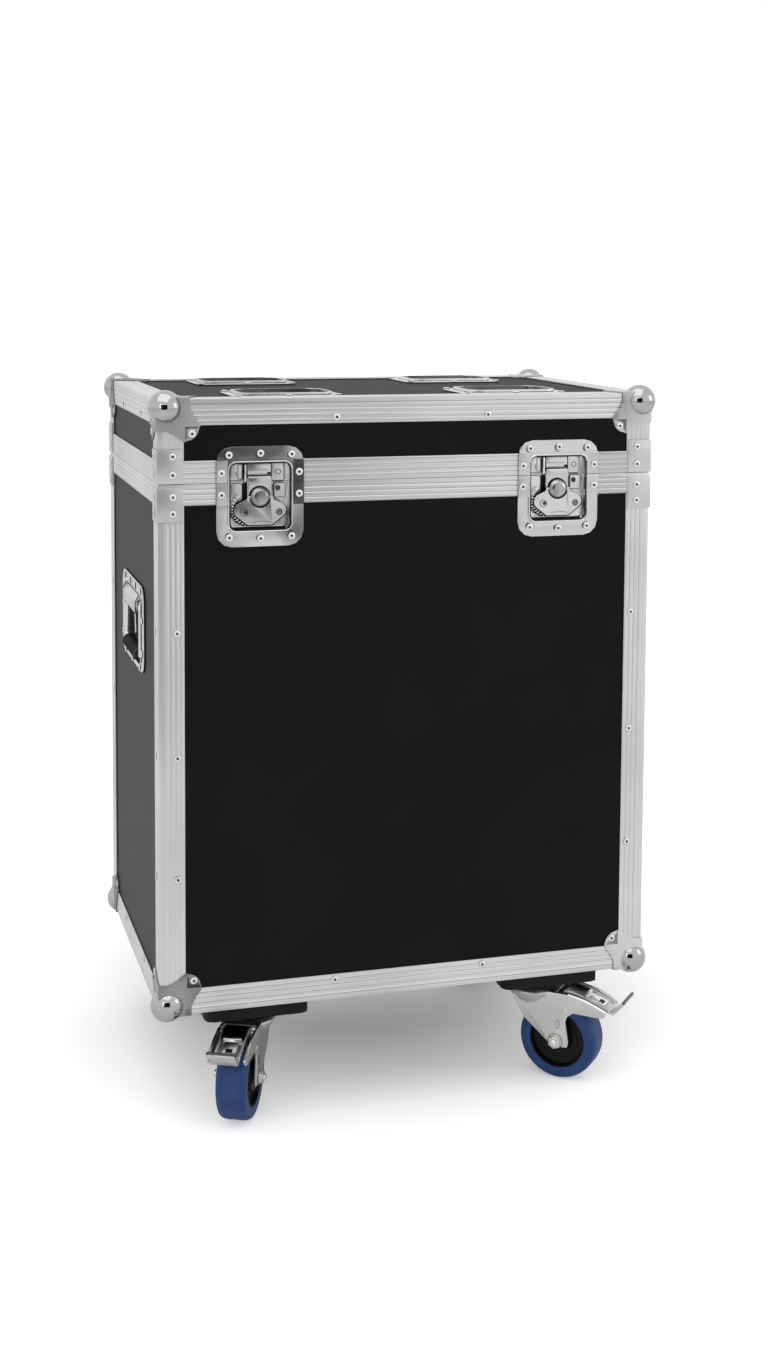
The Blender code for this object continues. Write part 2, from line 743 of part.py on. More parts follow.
def latch_base_mesh():
    """The lower half: flange, pan and the bump that guides the hook."""
    top = BASE_RIM_TOP - LATCH_Z
    rim_low = BASE_RIM_TOP - BASE_RIM_HEIGHT - CLEARANCE - LATCH_Z
    half = LATCH_WIDTH / 2
    outer = CLEARANCE + LATCH_SHEET
    pan_half = PAN_WIDTH / 2
    wall_half = pan_half + LATCH_SHEET
    wall_corner = PAN_CORNER + LATCH_SHEET
    dish = extrusion("flange", [rounded(-half, -LATCH_BELOW, half, top, LATCH_CORNER, 0)], SEAT, outer)
    tray_outline = rounded(-wall_half, -PAN_BELOW - LATCH_SHEET, wall_half, top, wall_corner, 0, 2)
    fused(dish, extrusion("tray", [tray_outline], PAN_BACK, outer))
    pocket_outline = rounded(-pan_half, -PAN_BELOW, pan_half, 2 * PAN_ABOVE, PAN_CORNER, 0, 2)
    cut(dish, extrusion("pocket", [pocket_outline], PAN_FLOOR, ANGLE_LEG))
    for side in (-1, 1):
        ends = sorted((side * wall_half, side * LATCH_WIDTH))
        cut(dish, block("rim room", (ends[0], rim_low, SEAT * 2), (ends[1], PAN_ABOVE, CLEARANCE)))
    cut(dish, block(
        "upper skin",
        (-LATCH_WIDTH, -LATCH_WIDTH, SEAT + LATCH_SHEET),
        (LATCH_WIDTH, rim_low - LATCH_SHEET, ANGLE_LEG),
    ))
    fused(dish, bump(BUMP_BASE_Y))
    return settled(dish)


def latch_lid_mesh():
    """The upper half: flange, pan, guide bump and the raised keeper."""
    low = LID_RIM_BOTTOM - LATCH_Z
    rim_high = LID_RIM_BOTTOM + LID_RIM_HEIGHT + CLEARANCE - LATCH_Z
    half = LATCH_WIDTH / 2
    outer = CLEARANCE + LATCH_SHEET
    pan_half = PAN_WIDTH / 2
    wall_half = pan_half + LATCH_SHEET
    wall_corner = PAN_CORNER + LATCH_SHEET
    dish = extrusion("flange", [rounded(-half, low, half, LATCH_ABOVE, 0, LATCH_CORNER)], SEAT, outer)
    tray_outline = rounded(-wall_half, low, wall_half, PAN_ABOVE + LATCH_SHEET, 0, wall_corner, 2)
    fused(dish, extrusion("tray", [tray_outline], PAN_BACK, outer))
    pocket_outline = rounded(-pan_half, -PAN_BELOW, pan_half, PAN_ABOVE, 0, PAN_CORNER, 2)
    cut(dish, extrusion("pocket", [pocket_outline], PAN_FLOOR, ANGLE_LEG))
    for side in (-1, 1):
        ends = sorted((side * wall_half, side * LATCH_WIDTH))
        cut(dish, block("rim room", (ends[0], -PAN_BELOW, SEAT * 2), (ends[1], rim_high, CLEARANCE)))
    skin_low = max(rim_high, PAN_ABOVE) + LATCH_SHEET
    cut(dish, block(
        "upper skin",
        (-LATCH_WIDTH, skin_low, SEAT + LATCH_SHEET),
        (LATCH_WIDTH, LATCH_WIDTH, ANGLE_LEG),
    ))
    keeper = block(
        "keeper",
        (-KEEPER_WIDTH / 2, KEEPER_LOW, PAN_FLOOR - LATCH_SHEET / 2),
        (KEEPER_WIDTH / 2, KEEPER_HIGH, KEEPER_TOP),
    )
    fused(dish, keeper, bump(BUMP_LID_Y))
    return settled(dish)


def bump(height):
    """A pressed boss on the pan's floor beside the hook."""
    return rod(
        "bump",
        BUMP_RADIUS,
        (BUMP_X, height, PAN_FLOOR - LATCH_SHEET / 2),
        (BUMP_X, height, PAN_FLOOR + BUMP_HEIGHT),
        sides=BAR_SIDES,
        end_radius=BUMP_TOP_RADIUS,
    )


def hook_mesh():
    """The sliding draw plate: it runs round the rotor, with room below for its travel."""
    hole = ROTOR_RADIUS + CLEARANCE
    half = hole + HOOK_SIDE
    foot = -HOOK_TRAVEL - half
    plate = rounded(-half, foot, half, HOOK_TIP, HOOK_SIDE, HOOK_SIDE / 2, 2)
    slot = arc((0, 0), hole, 0, 180, 8) + arc((0, -HOOK_TRAVEL), hole, 180, 360, 8)
    return settled(extrusion("hook", [plate, slot], HOOK_TOP - HOOK_SHEET, HOOK_TOP))


def rotor_mesh():
    """The round cam with its crowned head, bored across for the wing's pin."""
    top = PIN_LEVEL + ROTOR_RISE
    shoulder = PIN_LEVEL + ROTOR_SHOULDER
    bulge = ROTOR_SHOULDER / 2
    middle = ((ROTOR_FLAT_RADIUS + ROTOR_RADIUS) / 2 + bulge, (top + shoulder) / 2 + bulge)
    crown = [(0, top), (ROTOR_FLAT_RADIUS, top), middle, (ROTOR_RADIUS, shoulder)]
    foot = PAN_FLOOR + CLEARANCE
    rotor = turned("rotor", crown + [(ROTOR_RADIUS, foot), (0, foot)], ROTOR_STEPS)
    bore = rod(
        "bore",
        PIN_RADIUS + PIN_PLAY,
        (-LATCH_WIDTH, 0, PIN_LEVEL),
        (LATCH_WIDTH, 0, PIN_LEVEL),
        sides=PIN_SIDES,
    )
    return settled(cut(rotor, bore))


def wing_outline():
    """The butterfly: two thumb lobes, a straight foot and a round cut-out for the rotor."""
    inner = ROTOR_RADIUS + WING_PLAY
    ear = inner + WING_EAR_WIDTH
    foot_half = math.sqrt(WING_REACH**2 - WING_FOOT**2)
    right = [(inner, 0), (ear, 0), (ear + WING_NECK, -WING_EAR_DROP)]
    right += arc((WING_LOBE_X, -WING_LOBE_Y), WING_LOBE_RADIUS, 80, -60, 5)
    right += [(foot_half, -WING_FOOT)]
    left = [(-x, y) for x, y in reversed(right)]
    return right + left + arc((0, 0), inner, 180, 360, 10)[1:-1]


def wing_mesh():
    """The wing about its pin: a pressed plate with ears that roll round the pin."""
    half = WING_SHEET / 2
    wing = extrusion("wing", [wing_outline()], -half, half)
    inner = ROTOR_RADIUS + WING_PLAY
    for side in (-1, 1):
        start = (side * inner, 0, 0)
        end = (side * (inner + WING_EAR_WIDTH), 0, 0)
        fused(wing, rod("ear", WING_EAR_RADIUS, start, end, PIN_SIDES))
    reach = inner + WING_EAR_WIDTH / 2
    fused(wing, rod("pin", PIN_RADIUS, (-reach, 0, 0), (reach, 0, 0), PIN_SIDES))
    return settled(wing)


def latches(lid):
    """Four latches, all of one hand."""
    base, upper, hook, rotor, wing = (
        latch_base_mesh(), latch_lid_mesh(), hook_mesh(), rotor_mesh(), wing_mesh()
    )
    for name, (x, y) in CORNER_SIGNS.items():
        turn = 0 if y < 0 else 180
        frame = on_face(turn, -x * y * LATCH_OFFSET, LATCH_Z, HALF_DEPTH)
        axis = pivot(f"{name}_latch_axis", frame)
        finish(f"{name}_latch_dish", base, STEEL, None, frame)
        finish(f"{name}_latch_keeper", upper, STEEL, lid, frame)
        finish(f"{name}_latch_hook", hook, STEEL, axis, frame)
        finish(f"{name}_latch_rotor", rotor, STEEL, axis, frame)
        pin = frame @ Matrix.Translation((0, 0, PIN_LEVEL))
        finish(f"{name}_latch_wing", wing, STEEL, axis, pin)


# Sprung handles

def handle_frame(side):
    """The frame of the handle on the left or right wall."""
    return on_face(side * 90, 0, CASE_BOTTOM + HANDLE_HEIGHT, HALF_WIDTH)


def handle_dish_mesh():
    """Flange, recess, hood and the cheeks that carry the bail."""
    half, tall = HANDLE_WIDTH / 2, HANDLE_TALL / 2
    top = SEAT + HANDLE_SHEET
    back = SEAT - HANDLE_DEPTH
    recess = RECESS_WIDTH / 2
    dish = extrusion("flange", [rounded(-half, -tall, half, tall, HANDLE_CORNER)], SEAT, top)
    sheet = HANDLE_SHEET
    tray_outline = rounded(
        -recess - sheet, RECESS_LOW - sheet, recess + sheet, RECESS_HIGH + sheet, RECESS_CORNER
    )
    fused(dish, extrusion("tray", [tray_outline], back, SEAT + sheet / 2))
    pocket_outline = rounded(-recess, RECESS_LOW, recess, RECESS_HIGH, RECESS_CORNER - sheet)
    cut(dish, extrusion("pocket", [pocket_outline], back + sheet, ANGLE_LEG))
    rise = HOOD_RISE
    hood = [
        (HOOD_FOOT, SEAT + sheet / 2),
        (HOOD_FOOT, top - sheet / 4),
        (BAIL_HINGE_Y + BAIL_ROD_RADIUS, rise),
        (HOOD_LIP, rise),
        (HOOD_LIP, rise - HOOD_SHEET),
        (BAIL_HINGE_Y + BAIL_ROD_RADIUS - HOOD_SHEET / 2, rise - HOOD_SHEET),
        (RECESS_HIGH - sheet, SEAT + sheet / 2),
    ]
    fused(dish, extrusion("hood", [hood], -HOOD_WIDTH / 2, HOOD_WIDTH / 2, SIDEWAYS))
    cheek = [
        (RECESS_HIGH + sheet / 2, SEAT + sheet / 2),
        (BAIL_HINGE_Y + BAIL_ROD_RADIUS, rise - HOOD_SHEET / 2),
        (HOOD_LIP + HOOD_SHEET / 2, rise - HOOD_SHEET / 2),
        (HOOD_LIP + HOOD_SHEET / 2, BAIL_LEVEL),
        (BAIL_HINGE_Y - BAIL_ROD_RADIUS, BAIL_LEVEL - 2 * BAIL_ROD_RADIUS),
        (RECESS_HIGH + sheet / 2, BAIL_LEVEL - 2 * BAIL_ROD_RADIUS),
    ]
    cheek_end = HOOD_WIDTH / 2 - HOOD_SHEET / 2
    for side in (-1, 1):
        ends = sorted((side * cheek_end, side * (cheek_end - HOOD_CHEEK)))
        fused(dish, extrusion("cheek", [cheek], ends[0], ends[1], SIDEWAYS))
    bore = rod(
        "bore",
        BAIL_ROD_RADIUS + BEARING_PLAY,
        (-HOOD_WIDTH / 2, BAIL_HINGE_Y, BAIL_LEVEL),
        (HOOD_WIDTH / 2, BAIL_HINGE_Y, BAIL_LEVEL),
        sides=BAR_SIDES,
    )
    return settled(cut(dish, bore))


def bail_mesh():
    """The bail about its hinge: a closed loop of rod, with a moulded grip on its lower side."""
    half = BAIL_SPREAD / 2
    loop = rounded(-half, -BAIL_LENGTH, half, 0, BAIL_BEND, BAIL_ROD_RADIUS, 3)
    curve = bpy.data.curves.new("bail", "CURVE")
    curve.dimensions = "3D"
    curve.bevel_depth = BAIL_ROD_RADIUS
    curve.bevel_resolution = 2
    spline = curve.splines.new("POLY")
    spline.points.add(len(loop) - 1)
    spline.use_cyclic_u = True
    for point, (x, y) in zip(spline.points, loop):
        point.co = (x, y, 0, 1)
    bail = helper("bail", settled(helper("loop", curve)))
    grip = rod(
        "grip",
        GRIP_RADIUS,
        (-GRIP_LENGTH / 2, -BAIL_LENGTH, 0),
        (GRIP_LENGTH / 2, -BAIL_LENGTH, 0),
        sides=BAR_SIDES,
    )
    return settled(fused(bail, grip))


def handles():
    dish = handle_dish_mesh()
    bail = bail_mesh()
    for name, side in (("left", -1), ("right", 1)):
        frame = handle_frame(side)
        hinge = frame @ Matrix.Translation((0, BAIL_HINGE_Y, BAIL_LEVEL))
        finish(f"{name}_handle_dish", dish, STEEL, None, frame)
        finish(f"{name}_handle_bail", bail, CHROME, None, hinge)


# Stacking dishes

def stacking_dish_mesh():
    half_x, half_y = DISH_LENGTH / 2, DISH_DEPTH / 2
    well_x, well_y = WELL_LENGTH / 2, WELL_WIDTH / 2
    sheet = DISH_SHEET
    dish = extrusion("flange", [rounded(-half_x, -half_y, half_x, half_y, DISH_CORNER)], SEAT, SEAT + sheet)

    def well(grown):
        x, y = well_x + grown, well_y + grown
        return [rounded(-x, -y, x, y, WELL_CORNER + grown)]

    fused(
        dish,
        extrusion("bead", well(DISH_BEAD), SEAT, DISH_BEAD_RISE),
        extrusion("well wall", well(sheet), -WELL_DEPTH - sheet, SEAT + sheet),
    )
    return settled(cut(dish, extrusion("well", well(0), -WELL_DEPTH, ANGLE_LEG)))


def stacking_dishes(lid):
    mesh = stacking_dish_mesh()
    for name, (x, y) in CORNER_SIGNS.items():
        place = Matrix.Translation((x * DISH_OFFSET, y * DISH_ROW, CASE_TOP))
        finish(f"{name}_stacking_dish", mesh, STEEL, lid, place)


# Castors: local x runs along the trail, y across the wheel and z up from the case's underside

def from_point(x, z, points):
    """The points moved to start from x and z."""
    return [(x + out, z + up) for out, up in points]


def cheek_outline():
    """A fork cheek: down the back to the axle, up its front edge and out along the brake's beak."""
    edge = from_point(TRAIL, -AXLE_DROP, CHEEK_HEEL + CHEEK_TOE + CHEEK_THROAT + CHEEK_BEAK)
    back = [(-FORK_BACK, CROWN_TOP), (-FORK_BACK, CROWN_TOP - FORK_SHEET)]
    return back + edge + [(FORK_FRONT, CROWN_TOP)]


def fork_mesh():
    """Swivel head, crown, two cheeks and the axle bolt."""
    inner = FORK_GAP / 2
    outer = inner + FORK_SHEET
    crown_low = CROWN_TOP - FORK_SHEET
    skirt = crown_low - SKIRT_DEPTH
    head = turned(
        "head",
        [
            (0, HEAD_TOP),
            (HEAD_RADIUS - FORK_SHEET, HEAD_TOP),
            (HEAD_RADIUS, HEAD_TOP - FORK_SHEET),
            (HEAD_RADIUS, CROWN_TOP + FORK_SHEET),
            (CROWN_RADIUS - FORK_SHEET / 2, CROWN_TOP),
            (CROWN_RADIUS, crown_low),
            (outer, skirt),
            (0, skirt),
        ],
        HEAD_STEPS,
    )
    for side in (-1, 1):
        ends = sorted((-side * inner, -side * outer))
        fused(head, extrusion("cheek", [cheek_outline()], ends[0], ends[1], UPRIGHT))
    cut(head, block("wheel room", (-CASE_WIDTH, -inner, skirt - FORK_SHEET), (CASE_WIDTH, inner, crown_low)))
    middle = inner + FORK_SHEET / 2
    fused(head, block("crown front", (-TRAIL / 2, -middle, crown_low), (TRAIL, middle, CROWN_TOP)))

    def across(name, radius, low, high, sides, x=TRAIL, z=-AXLE_DROP):
        return rod(name, radius, (x, low, z), (x, high, z), sides)

    cut(head, across("tyre room", WHEEL_RADIUS + WHEEL_ROOM, -inner, inner, WHEEL_STEPS))
    reach = outer + NUT_HEIGHT
    fused(
        head,
        across("axle", AXLE_RADIUS, -outer, outer, BAR_SIDES),
        across("bolt head", NUT_RADIUS, -reach, -middle, NUT_SIDES),
        across("nut", NUT_RADIUS, middle, reach, NUT_SIDES),
        across("brake pin", PEDAL_PIN_RADIUS, -outer, outer, PIN_SIDES, PEDAL_PIVOT_U, -PEDAL_PIVOT_DROP),
    )
    return settled(head)


def wheel_mesh():
    """Tyre, hub and boss turned about the axle, bored to run on it."""
    half = WHEEL_WIDTH / 2
    web = half - HUB_RECESS
    bore = AXLE_RADIUS + AXLE_PLAY
    face = [
        (bore, half),
        (BOSS_RADIUS, half),
        (BOSS_RADIUS + BOSS_DRAFT, web),
        (HUB_RADIUS - HUB_LIP, web),
        (HUB_RADIUS, half),
        (WHEEL_RADIUS - TYRE_ROUND, half),
        (WHEEL_RADIUS, half - 2 * TYRE_ROUND),
    ]
    profile = face + [(r, -z) for r, z in reversed(face)] + [face[0]]
    wheel = settled(turned("wheel", profile, WHEEL_STEPS))
    wheel.transform(Matrix.Rotation(math.pi / 2, 4, "X"))
    return wheel


def pedal_mesh():
    """The brake pedal about its pin: a channel, its upturned toe, the barrel and the brake shoe."""
    half = PEDAL_WIDTH / 2
    sheet = PEDAL_SHEET
    tread = list(PEDAL_TREAD)
    under = from_point(sheet / 3, -sheet, reversed(tread))
    toe = [PEDAL_TOE, (PEDAL_TOE[0] + sheet, PEDAL_TOE[1] - sheet / 2)]
    channel = extrusion("channel", [tread + toe + under], -half, half, UPRIGHT)
    side_outline = list(PEDAL_SIDE) + [PEDAL_SIDE_FOOT]
    for side in (-1, 1):
        ends = sorted((side * half, side * (half - sheet)))
        fused(channel, extrusion("side", [side_outline], ends[0], ends[1], UPRIGHT))
    fused(
        channel,
        rod("barrel", PEDAL_BARREL_RADIUS, (0, -half, 0), (0, half, 0), BAR_SIDES),
        block("shoe", (SHOE_NEAR, -half / 2, -SHOE_DROP), (SHOE_FAR, half / 2, 0)),
    )
    reach = PEDAL_WIDTH
    bore = rod("bore", PEDAL_PIN_RADIUS + PEDAL_PLAY, (0, -reach, 0), (0, reach, 0), PIN_SIDES)
    return settled(cut(channel, bore))


def castors():
    fork, wheel, pedal = fork_mesh(), wheel_mesh(), pedal_mesh()
    for name, (x, y) in CORNER_SIGNS.items():
        heading = Matrix.Rotation(math.radians(CASTOR_HEADINGS[name]), 4, "Z")
        frame = Matrix.Translation((x * CASTOR_X, y * CASTOR_Y, CASE_BOTTOM)) @ heading
        kingpin = pivot(f"{name}_castor_kingpin", frame)
        finish(f"{name}_castor_fork", fork, STEEL, kingpin, frame)
        axle = frame @ Matrix.Translation((TRAIL, 0, -AXLE_DROP))
        finish(f"{name}_castor_wheel", wheel, TYRE_FINISH, kingpin, axle)
        pin = frame @ Matrix.Translation((PEDAL_PIVOT_U, 0, -PEDAL_PIVOT_DROP))
        finish(f"{name}_brake_pedal", pedal, STEEL, kingpin, pin)


def main():
    lid = pivot("lid", Matrix.Translation((0, 0, SPLIT)))
    bottom_panel()
    base_panels()
    foam_floor()
    edge_frame("base_edge_frame", CASE_BOTTOM, 1, BASE_RIM_TOP - BASE_RIM_HEIGHT - CLEARANCE)
    base_rim()
    corners("base", CASE_BOTTOM, 1)
    handles()
    lid_panels(lid)
    edge_frame("lid_edge_frame", CASE_TOP, -1, LID_RIM_BOTTOM + LID_RIM_HEIGHT + CLEARANCE, lid)
    lid_rim(lid)
    corners("lid", CASE_TOP, -1, lid)
    stacking_dishes(lid)
    latches(lid)
    castors()


main()
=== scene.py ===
"""Finish of a deep road case on castors, in a plain white studio.

Ribbed aluminium angle boxes in black laminate panels. Latches, handles and stacking dishes are zinc
plated pressings, the ball corners are chrome plated, and the castors have blue rubber tyres.
"""

import math

import bmesh
import bpy
from mathutils import Matrix, Vector


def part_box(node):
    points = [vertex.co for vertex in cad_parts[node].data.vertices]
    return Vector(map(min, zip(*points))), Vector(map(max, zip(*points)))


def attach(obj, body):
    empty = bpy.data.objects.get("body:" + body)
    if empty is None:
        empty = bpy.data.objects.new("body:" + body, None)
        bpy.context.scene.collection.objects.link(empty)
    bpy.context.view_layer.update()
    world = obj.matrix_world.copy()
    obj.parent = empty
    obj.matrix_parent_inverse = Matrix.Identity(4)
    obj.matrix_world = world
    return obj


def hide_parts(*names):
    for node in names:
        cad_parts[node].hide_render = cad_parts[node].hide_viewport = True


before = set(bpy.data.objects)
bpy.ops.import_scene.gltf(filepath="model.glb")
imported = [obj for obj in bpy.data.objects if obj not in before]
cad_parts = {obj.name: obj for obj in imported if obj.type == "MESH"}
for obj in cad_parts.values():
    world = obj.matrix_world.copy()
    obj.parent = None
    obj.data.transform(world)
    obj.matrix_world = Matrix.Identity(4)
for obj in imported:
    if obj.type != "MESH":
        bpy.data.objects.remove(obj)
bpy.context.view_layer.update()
MM = 0.001

# The case as the CAD has it
CASE_BOTTOM = 0.143
CASE_TOP = 0.857
SPLIT = 0.7605
HALF_WIDTH = 0.300
HALF_DEPTH = 0.200
LATCH_X = 0.182
LATCH_Z = 0.7435
HANDLE_Z = 0.571
CASTOR_X = 0.184
CASTOR_Y = 0.138
TRAIL = 0.037
AXLE_DROP = 0.093
PEDAL_OUT = 0.049
PEDAL_DROP = 0.035
DISH_X = 0.140
DISH_Y = 0.1187
# the side and the end that each corner is on, and the way that its castor trails, in degrees
SIGNS = {"front_left": (-1, -1), "front_right": (1, -1), "rear_left": (-1, 1), "rear_right": (1, 1)}
HEADINGS = {"front_left": -116.0, "front_right": -42.0, "rear_left": 116.0, "rear_right": 42.0}
# each wall: its turn from the front in degrees, half its width, and how far out its outer plane lies
WALLS = (
    (0, HALF_WIDTH, HALF_DEPTH), (180, HALF_WIDTH, HALF_DEPTH),
    (90, HALF_DEPTH, HALF_WIDTH), (-90, HALF_DEPTH, HALF_WIDTH),
)
# stands a flat piece up against the front wall: its y goes up, and its z out of the wall
UPRIGHT = Matrix(((1, 0, 0, 0), (0, 0, -1, 0), (0, 1, 0, 0), (0, 0, 0, 1)))


# Materials

MATH = "ShaderNodeMath"


def hex_colour(code):
    """An sRGB hex value as linear RGBA."""
    channels = [int(code[i : i + 2], 16) / 255 for i in (1, 3, 5)]
    return [c / 12.92 if c <= 0.04045 else ((c + 0.055) / 1.055) ** 2.4 for c in channels] + [1.0]


def add(tree, kind, settings=None, **inputs):
    """A node with its settings. Each input that is named takes a number, a node or a (node, output).

    A Map Range has its source's low and high as inputs 1 and 2, and what they become as 3 and 4. A Mix has
    its two colours as inputs 6 and 7, and gives its colour as output 2.
    """
    node = tree.nodes.new(kind)
    for key, value in (settings or {}).items():
        if isinstance(key, int) or key in node.inputs:
            node.inputs[key].default_value = value
        else:
            setattr(node, key, value)
    for key, value in inputs.items():
        target = node.inputs[int(key[1:])] if key[1:].isdigit() else node.inputs[key.replace("_", " ")]
        if isinstance(value, (int, float)):
            target.default_value = value
        else:
            source, output = value if isinstance(value, tuple) else (value, 0)
            tree.links.new(source.outputs[output], target)
    return node


def drive(shader, socket, source, output=0):
    """The shader's socket follows the source."""
    shader.id_data.links.new(source.outputs[output], shader.inputs[socket])


def material(name, colour, roughness, metallic=0.0, **sockets):
    """A material with its Principled shader set, and the shader and tree to build on."""
    made = bpy.data.materials.new(name)
    made.use_nodes = True
    tree = made.node_tree
    shader = tree.nodes["Principled BSDF"]
    shader.inputs["Base Color"].default_value = hex_colour(colour)
    shader.inputs["Roughness"].default_value = roughness
    shader.inputs["Metallic"].default_value = metallic
    for key, value in sockets.items():
        shader.inputs[key.replace("_", " ")].default_value = value
    return made, tree, shader


def colour_between(shader, source, low, high, dark, light):
    """Base colour from dark to light as the source goes from low to high."""
    tree = shader.id_data
    share = add(tree, "ShaderNodeMapRange", {1: low, 2: high}, _0=source)
    ends = {"data_type": "RGBA", 6: hex_colour(dark), 7: hex_colour(light)}
    mix = add(tree, "ShaderNodeMix", ends, _0=share)
    drive(shader, "Base Color", mix, 2)
    return mix


def laminate():
    """Phenolic laminate on plywood: black and satin, finely pebbled, and a little paler at a low angle."""
    made, tree, shader = material("black_phenolic_laminate", "#0C0C0C", 0.34, Specular_IOR_Level=0.1)
    place = add(tree, "ShaderNodeTexCoord")
    # clouds of about 110 mm
    cloud = add(tree, "ShaderNodeTexNoise", {"Scale": 9, "Detail": 4}, Vector=(place, "Object"))
    colour_between(shader, cloud, 0.35, 0.7, "#0B0B0B", "#0F0F0F")
    # pebbles of about 1.2 mm
    pebbles = {"Scale": 830, "feature": "SMOOTH_F1"}
    pebble = add(tree, "ShaderNodeTexVoronoi", pebbles, Vector=(place, "Object"))
    relief = add(tree, "ShaderNodeBump", {"Strength": 0.06, "Distance": 0.1 * MM}, Height=pebble)
    drive(shader, "Normal", relief)
    glance = add(tree, "ShaderNodeLayerWeight", {"Blend": 0.5})
    gloss = add(tree, "ShaderNodeMapRange", {1: 0.6, 2: 0.93, 3: 0.105, 4: 0.004}, _0=(glance, "Facing"))
    drive(shader, "Specular IOR Level", gloss)
    return made


def extrusion_metal():
    """Extruded aluminium: ribs every 6 mm, each drawn with painted shade in its groove and a painted
    highlight on its lip, and drawn lines run along each length, with a soft satin shine.
    """
    rib_pitch = 6 * MM
    plain_edge = 4.5 * MM
    # posts start this far from the case's ends and from the split, and end angles reach a little further
    past_end_angle = 29.5 * MM
    past_rim_profile = 26.6 * MM
    end_angle = 30.2 * MM
    made, tree, shader = material("extruded_aluminium", "#D0D0D0", 0.42, 1.0)
    place = add(tree, "ShaderNodeTexCoord")
    at = add(tree, "ShaderNodeSeparateXYZ", _0=(place, "Object"))
    facing = add(tree, "ShaderNodeSeparateXYZ", _0=(place, "Normal"))
    unsigned, minus, times, times_plus, over, under = (
        {"operation": name}
        for name in ("ABSOLUTE", "SUBTRACT", "MULTIPLY", "MULTIPLY_ADD", "GREATER_THAN", "LESS_THAN")
    )

    def away(source, middle):
        """How far the source is from the middle, to either side."""
        return add(tree, MATH, unsigned, _0=add(tree, MATH, minus, _0=source, _1=middle))

    def inside(source, middle, half):
        """How far the source lies inside the two planes that are half away from the middle."""
        return add(tree, MATH, minus, _0=half, _1=away(source, middle))

    def either(choice, if_not, if_so):
        """if_so where choice is 1, and if_not where it is 0."""
        step = add(tree, MATH, minus, _0=if_so, _1=if_not)
        return add(tree, MATH, times_plus, _0=choice, _1=step, _2=if_not)

    # where a point lies on the case: on a post, an end angle or a closing profile, and which way it faces
    from_side = inside((at, 0), 0.0, HALF_WIDTH)
    from_face = inside((at, 1), 0.0, HALF_DEPTH)
    from_end = inside((at, 2), (CASE_TOP + CASE_BOTTOM) / 2, (CASE_TOP - CASE_BOTTOM) / 2)
    from_split = away((at, 2), SPLIT)
    past_end = add(tree, MATH, over, _0=from_end, _1=past_end_angle)
    past_rim = add(tree, MATH, over, _0=from_split, _1=past_rim_profile)
    on_post = add(tree, MATH, times, _0=past_end, _1=past_rim)
    on_end = add(tree, MATH, under, _0=from_end, _1=end_angle)
    on_side = add(tree, MATH, over, _0=away((facing, 0), 0.0), _1=0.5)
    on_top = add(tree, MATH, over, _0=away((facing, 2), 0.0), _1=0.5)
    # the distance across the profile, at right angles to its ribs
    wall = either(on_post, either(on_end, from_split, from_end), either(on_side, from_side, from_face))
    across = either(on_top, wall, add(tree, MATH, {"operation": "MINIMUM"}, _0=from_side, _1=from_face))
    # how far each point lies from the nearest groove, from -0.5 to 0.5 of the pitch
    pitches = add(tree, MATH, times_plus, _0=across, _1=1 / rib_pitch, _2=0.5)
    phase = add(tree, MATH, minus, _0=add(tree, MATH, {"operation": "FRACT"}, _0=pitches), _1=0.5)

    # drawn lines of about 1 mm, broader bands of 5 mm, and patches of 170 mm
    line = add(tree, "ShaderNodeCombineXYZ", _0=across)
    lines = add(tree, "ShaderNodeTexNoise", {"Scale": 1100, "Detail": 2}, Vector=line)
    bands = add(tree, "ShaderNodeTexNoise", {"Scale": 210, "Detail": 1}, Vector=line)
    patches = add(tree, "ShaderNodeTexNoise", {"Scale": 6, "Detail": 3}, Vector=(place, "Object"))
    # the bands show on the front and rear rails, and hardly on the side walls and posts
    hardly = add(tree, MATH, {"operation": "MAXIMUM"}, _0=on_side, _1=on_post)
    banding = add(tree, MATH, minus, _0=bands, _1=0.5)
    shade = add(tree, MATH, times_plus, _0=lines, _1=0.25, _2=0.2)
    shade = add(tree, MATH, times_plus, _0=banding, _1=either(hardly, 0.4, 0.1), _2=shade)
    shade = add(tree, MATH, times_plus, _0=patches, _1=0.35, _2=shade)
    mix = colour_between(shader, shade, 0.38, 0.62, "#C5C5C4", "#DEDEDD")
    # the painted rib shade and highlight are strong on the front and rear rails, softer on the side walls,
    # faint on the posts
    rib_paint_strength = either(on_post, either(on_side, 0.7, 0.28), 0.15)
    ribbed = add(tree, MATH, over, _0=across, _1=plain_edge)
    # each rib is drawn by painted shade in its groove and, a fifth of a pitch beside it, a painted highlight
    # on its lip
    for beside, width, tone in ((0.0, 0.05, "#9A9A9A"), (0.20, 0.0, "#F6F6F6")):
        fade = {1: width, 2: width + 0.10, 3: 1.0, 4: 0.0, "interpolation_type": "SMOOTHSTEP"}
        drawn = add(tree, "ShaderNodeMapRange", fade, _0=away(phase, beside))
        share = add(tree, MATH, times, _0=add(tree, MATH, times, _0=drawn, _1=ribbed), _1=rib_paint_strength)
        mix = add(tree, "ShaderNodeMix", {"data_type": "RGBA", 7: hex_colour(tone)}, _0=share, _6=(mix, 2))
    drive(shader, "Base Color", mix, 2)
    drive(shader, "Roughness", add(tree, "ShaderNodeMapRange", {1: 0.35, 2: 0.65, 3: 0.5, 4: 0.36}, _0=shade))
    relief = add(tree, "ShaderNodeBump", {"Strength": 0.15, "Distance": 0.1 * MM}, Height=lines)
    drive(shader, "Normal", relief)
    return made


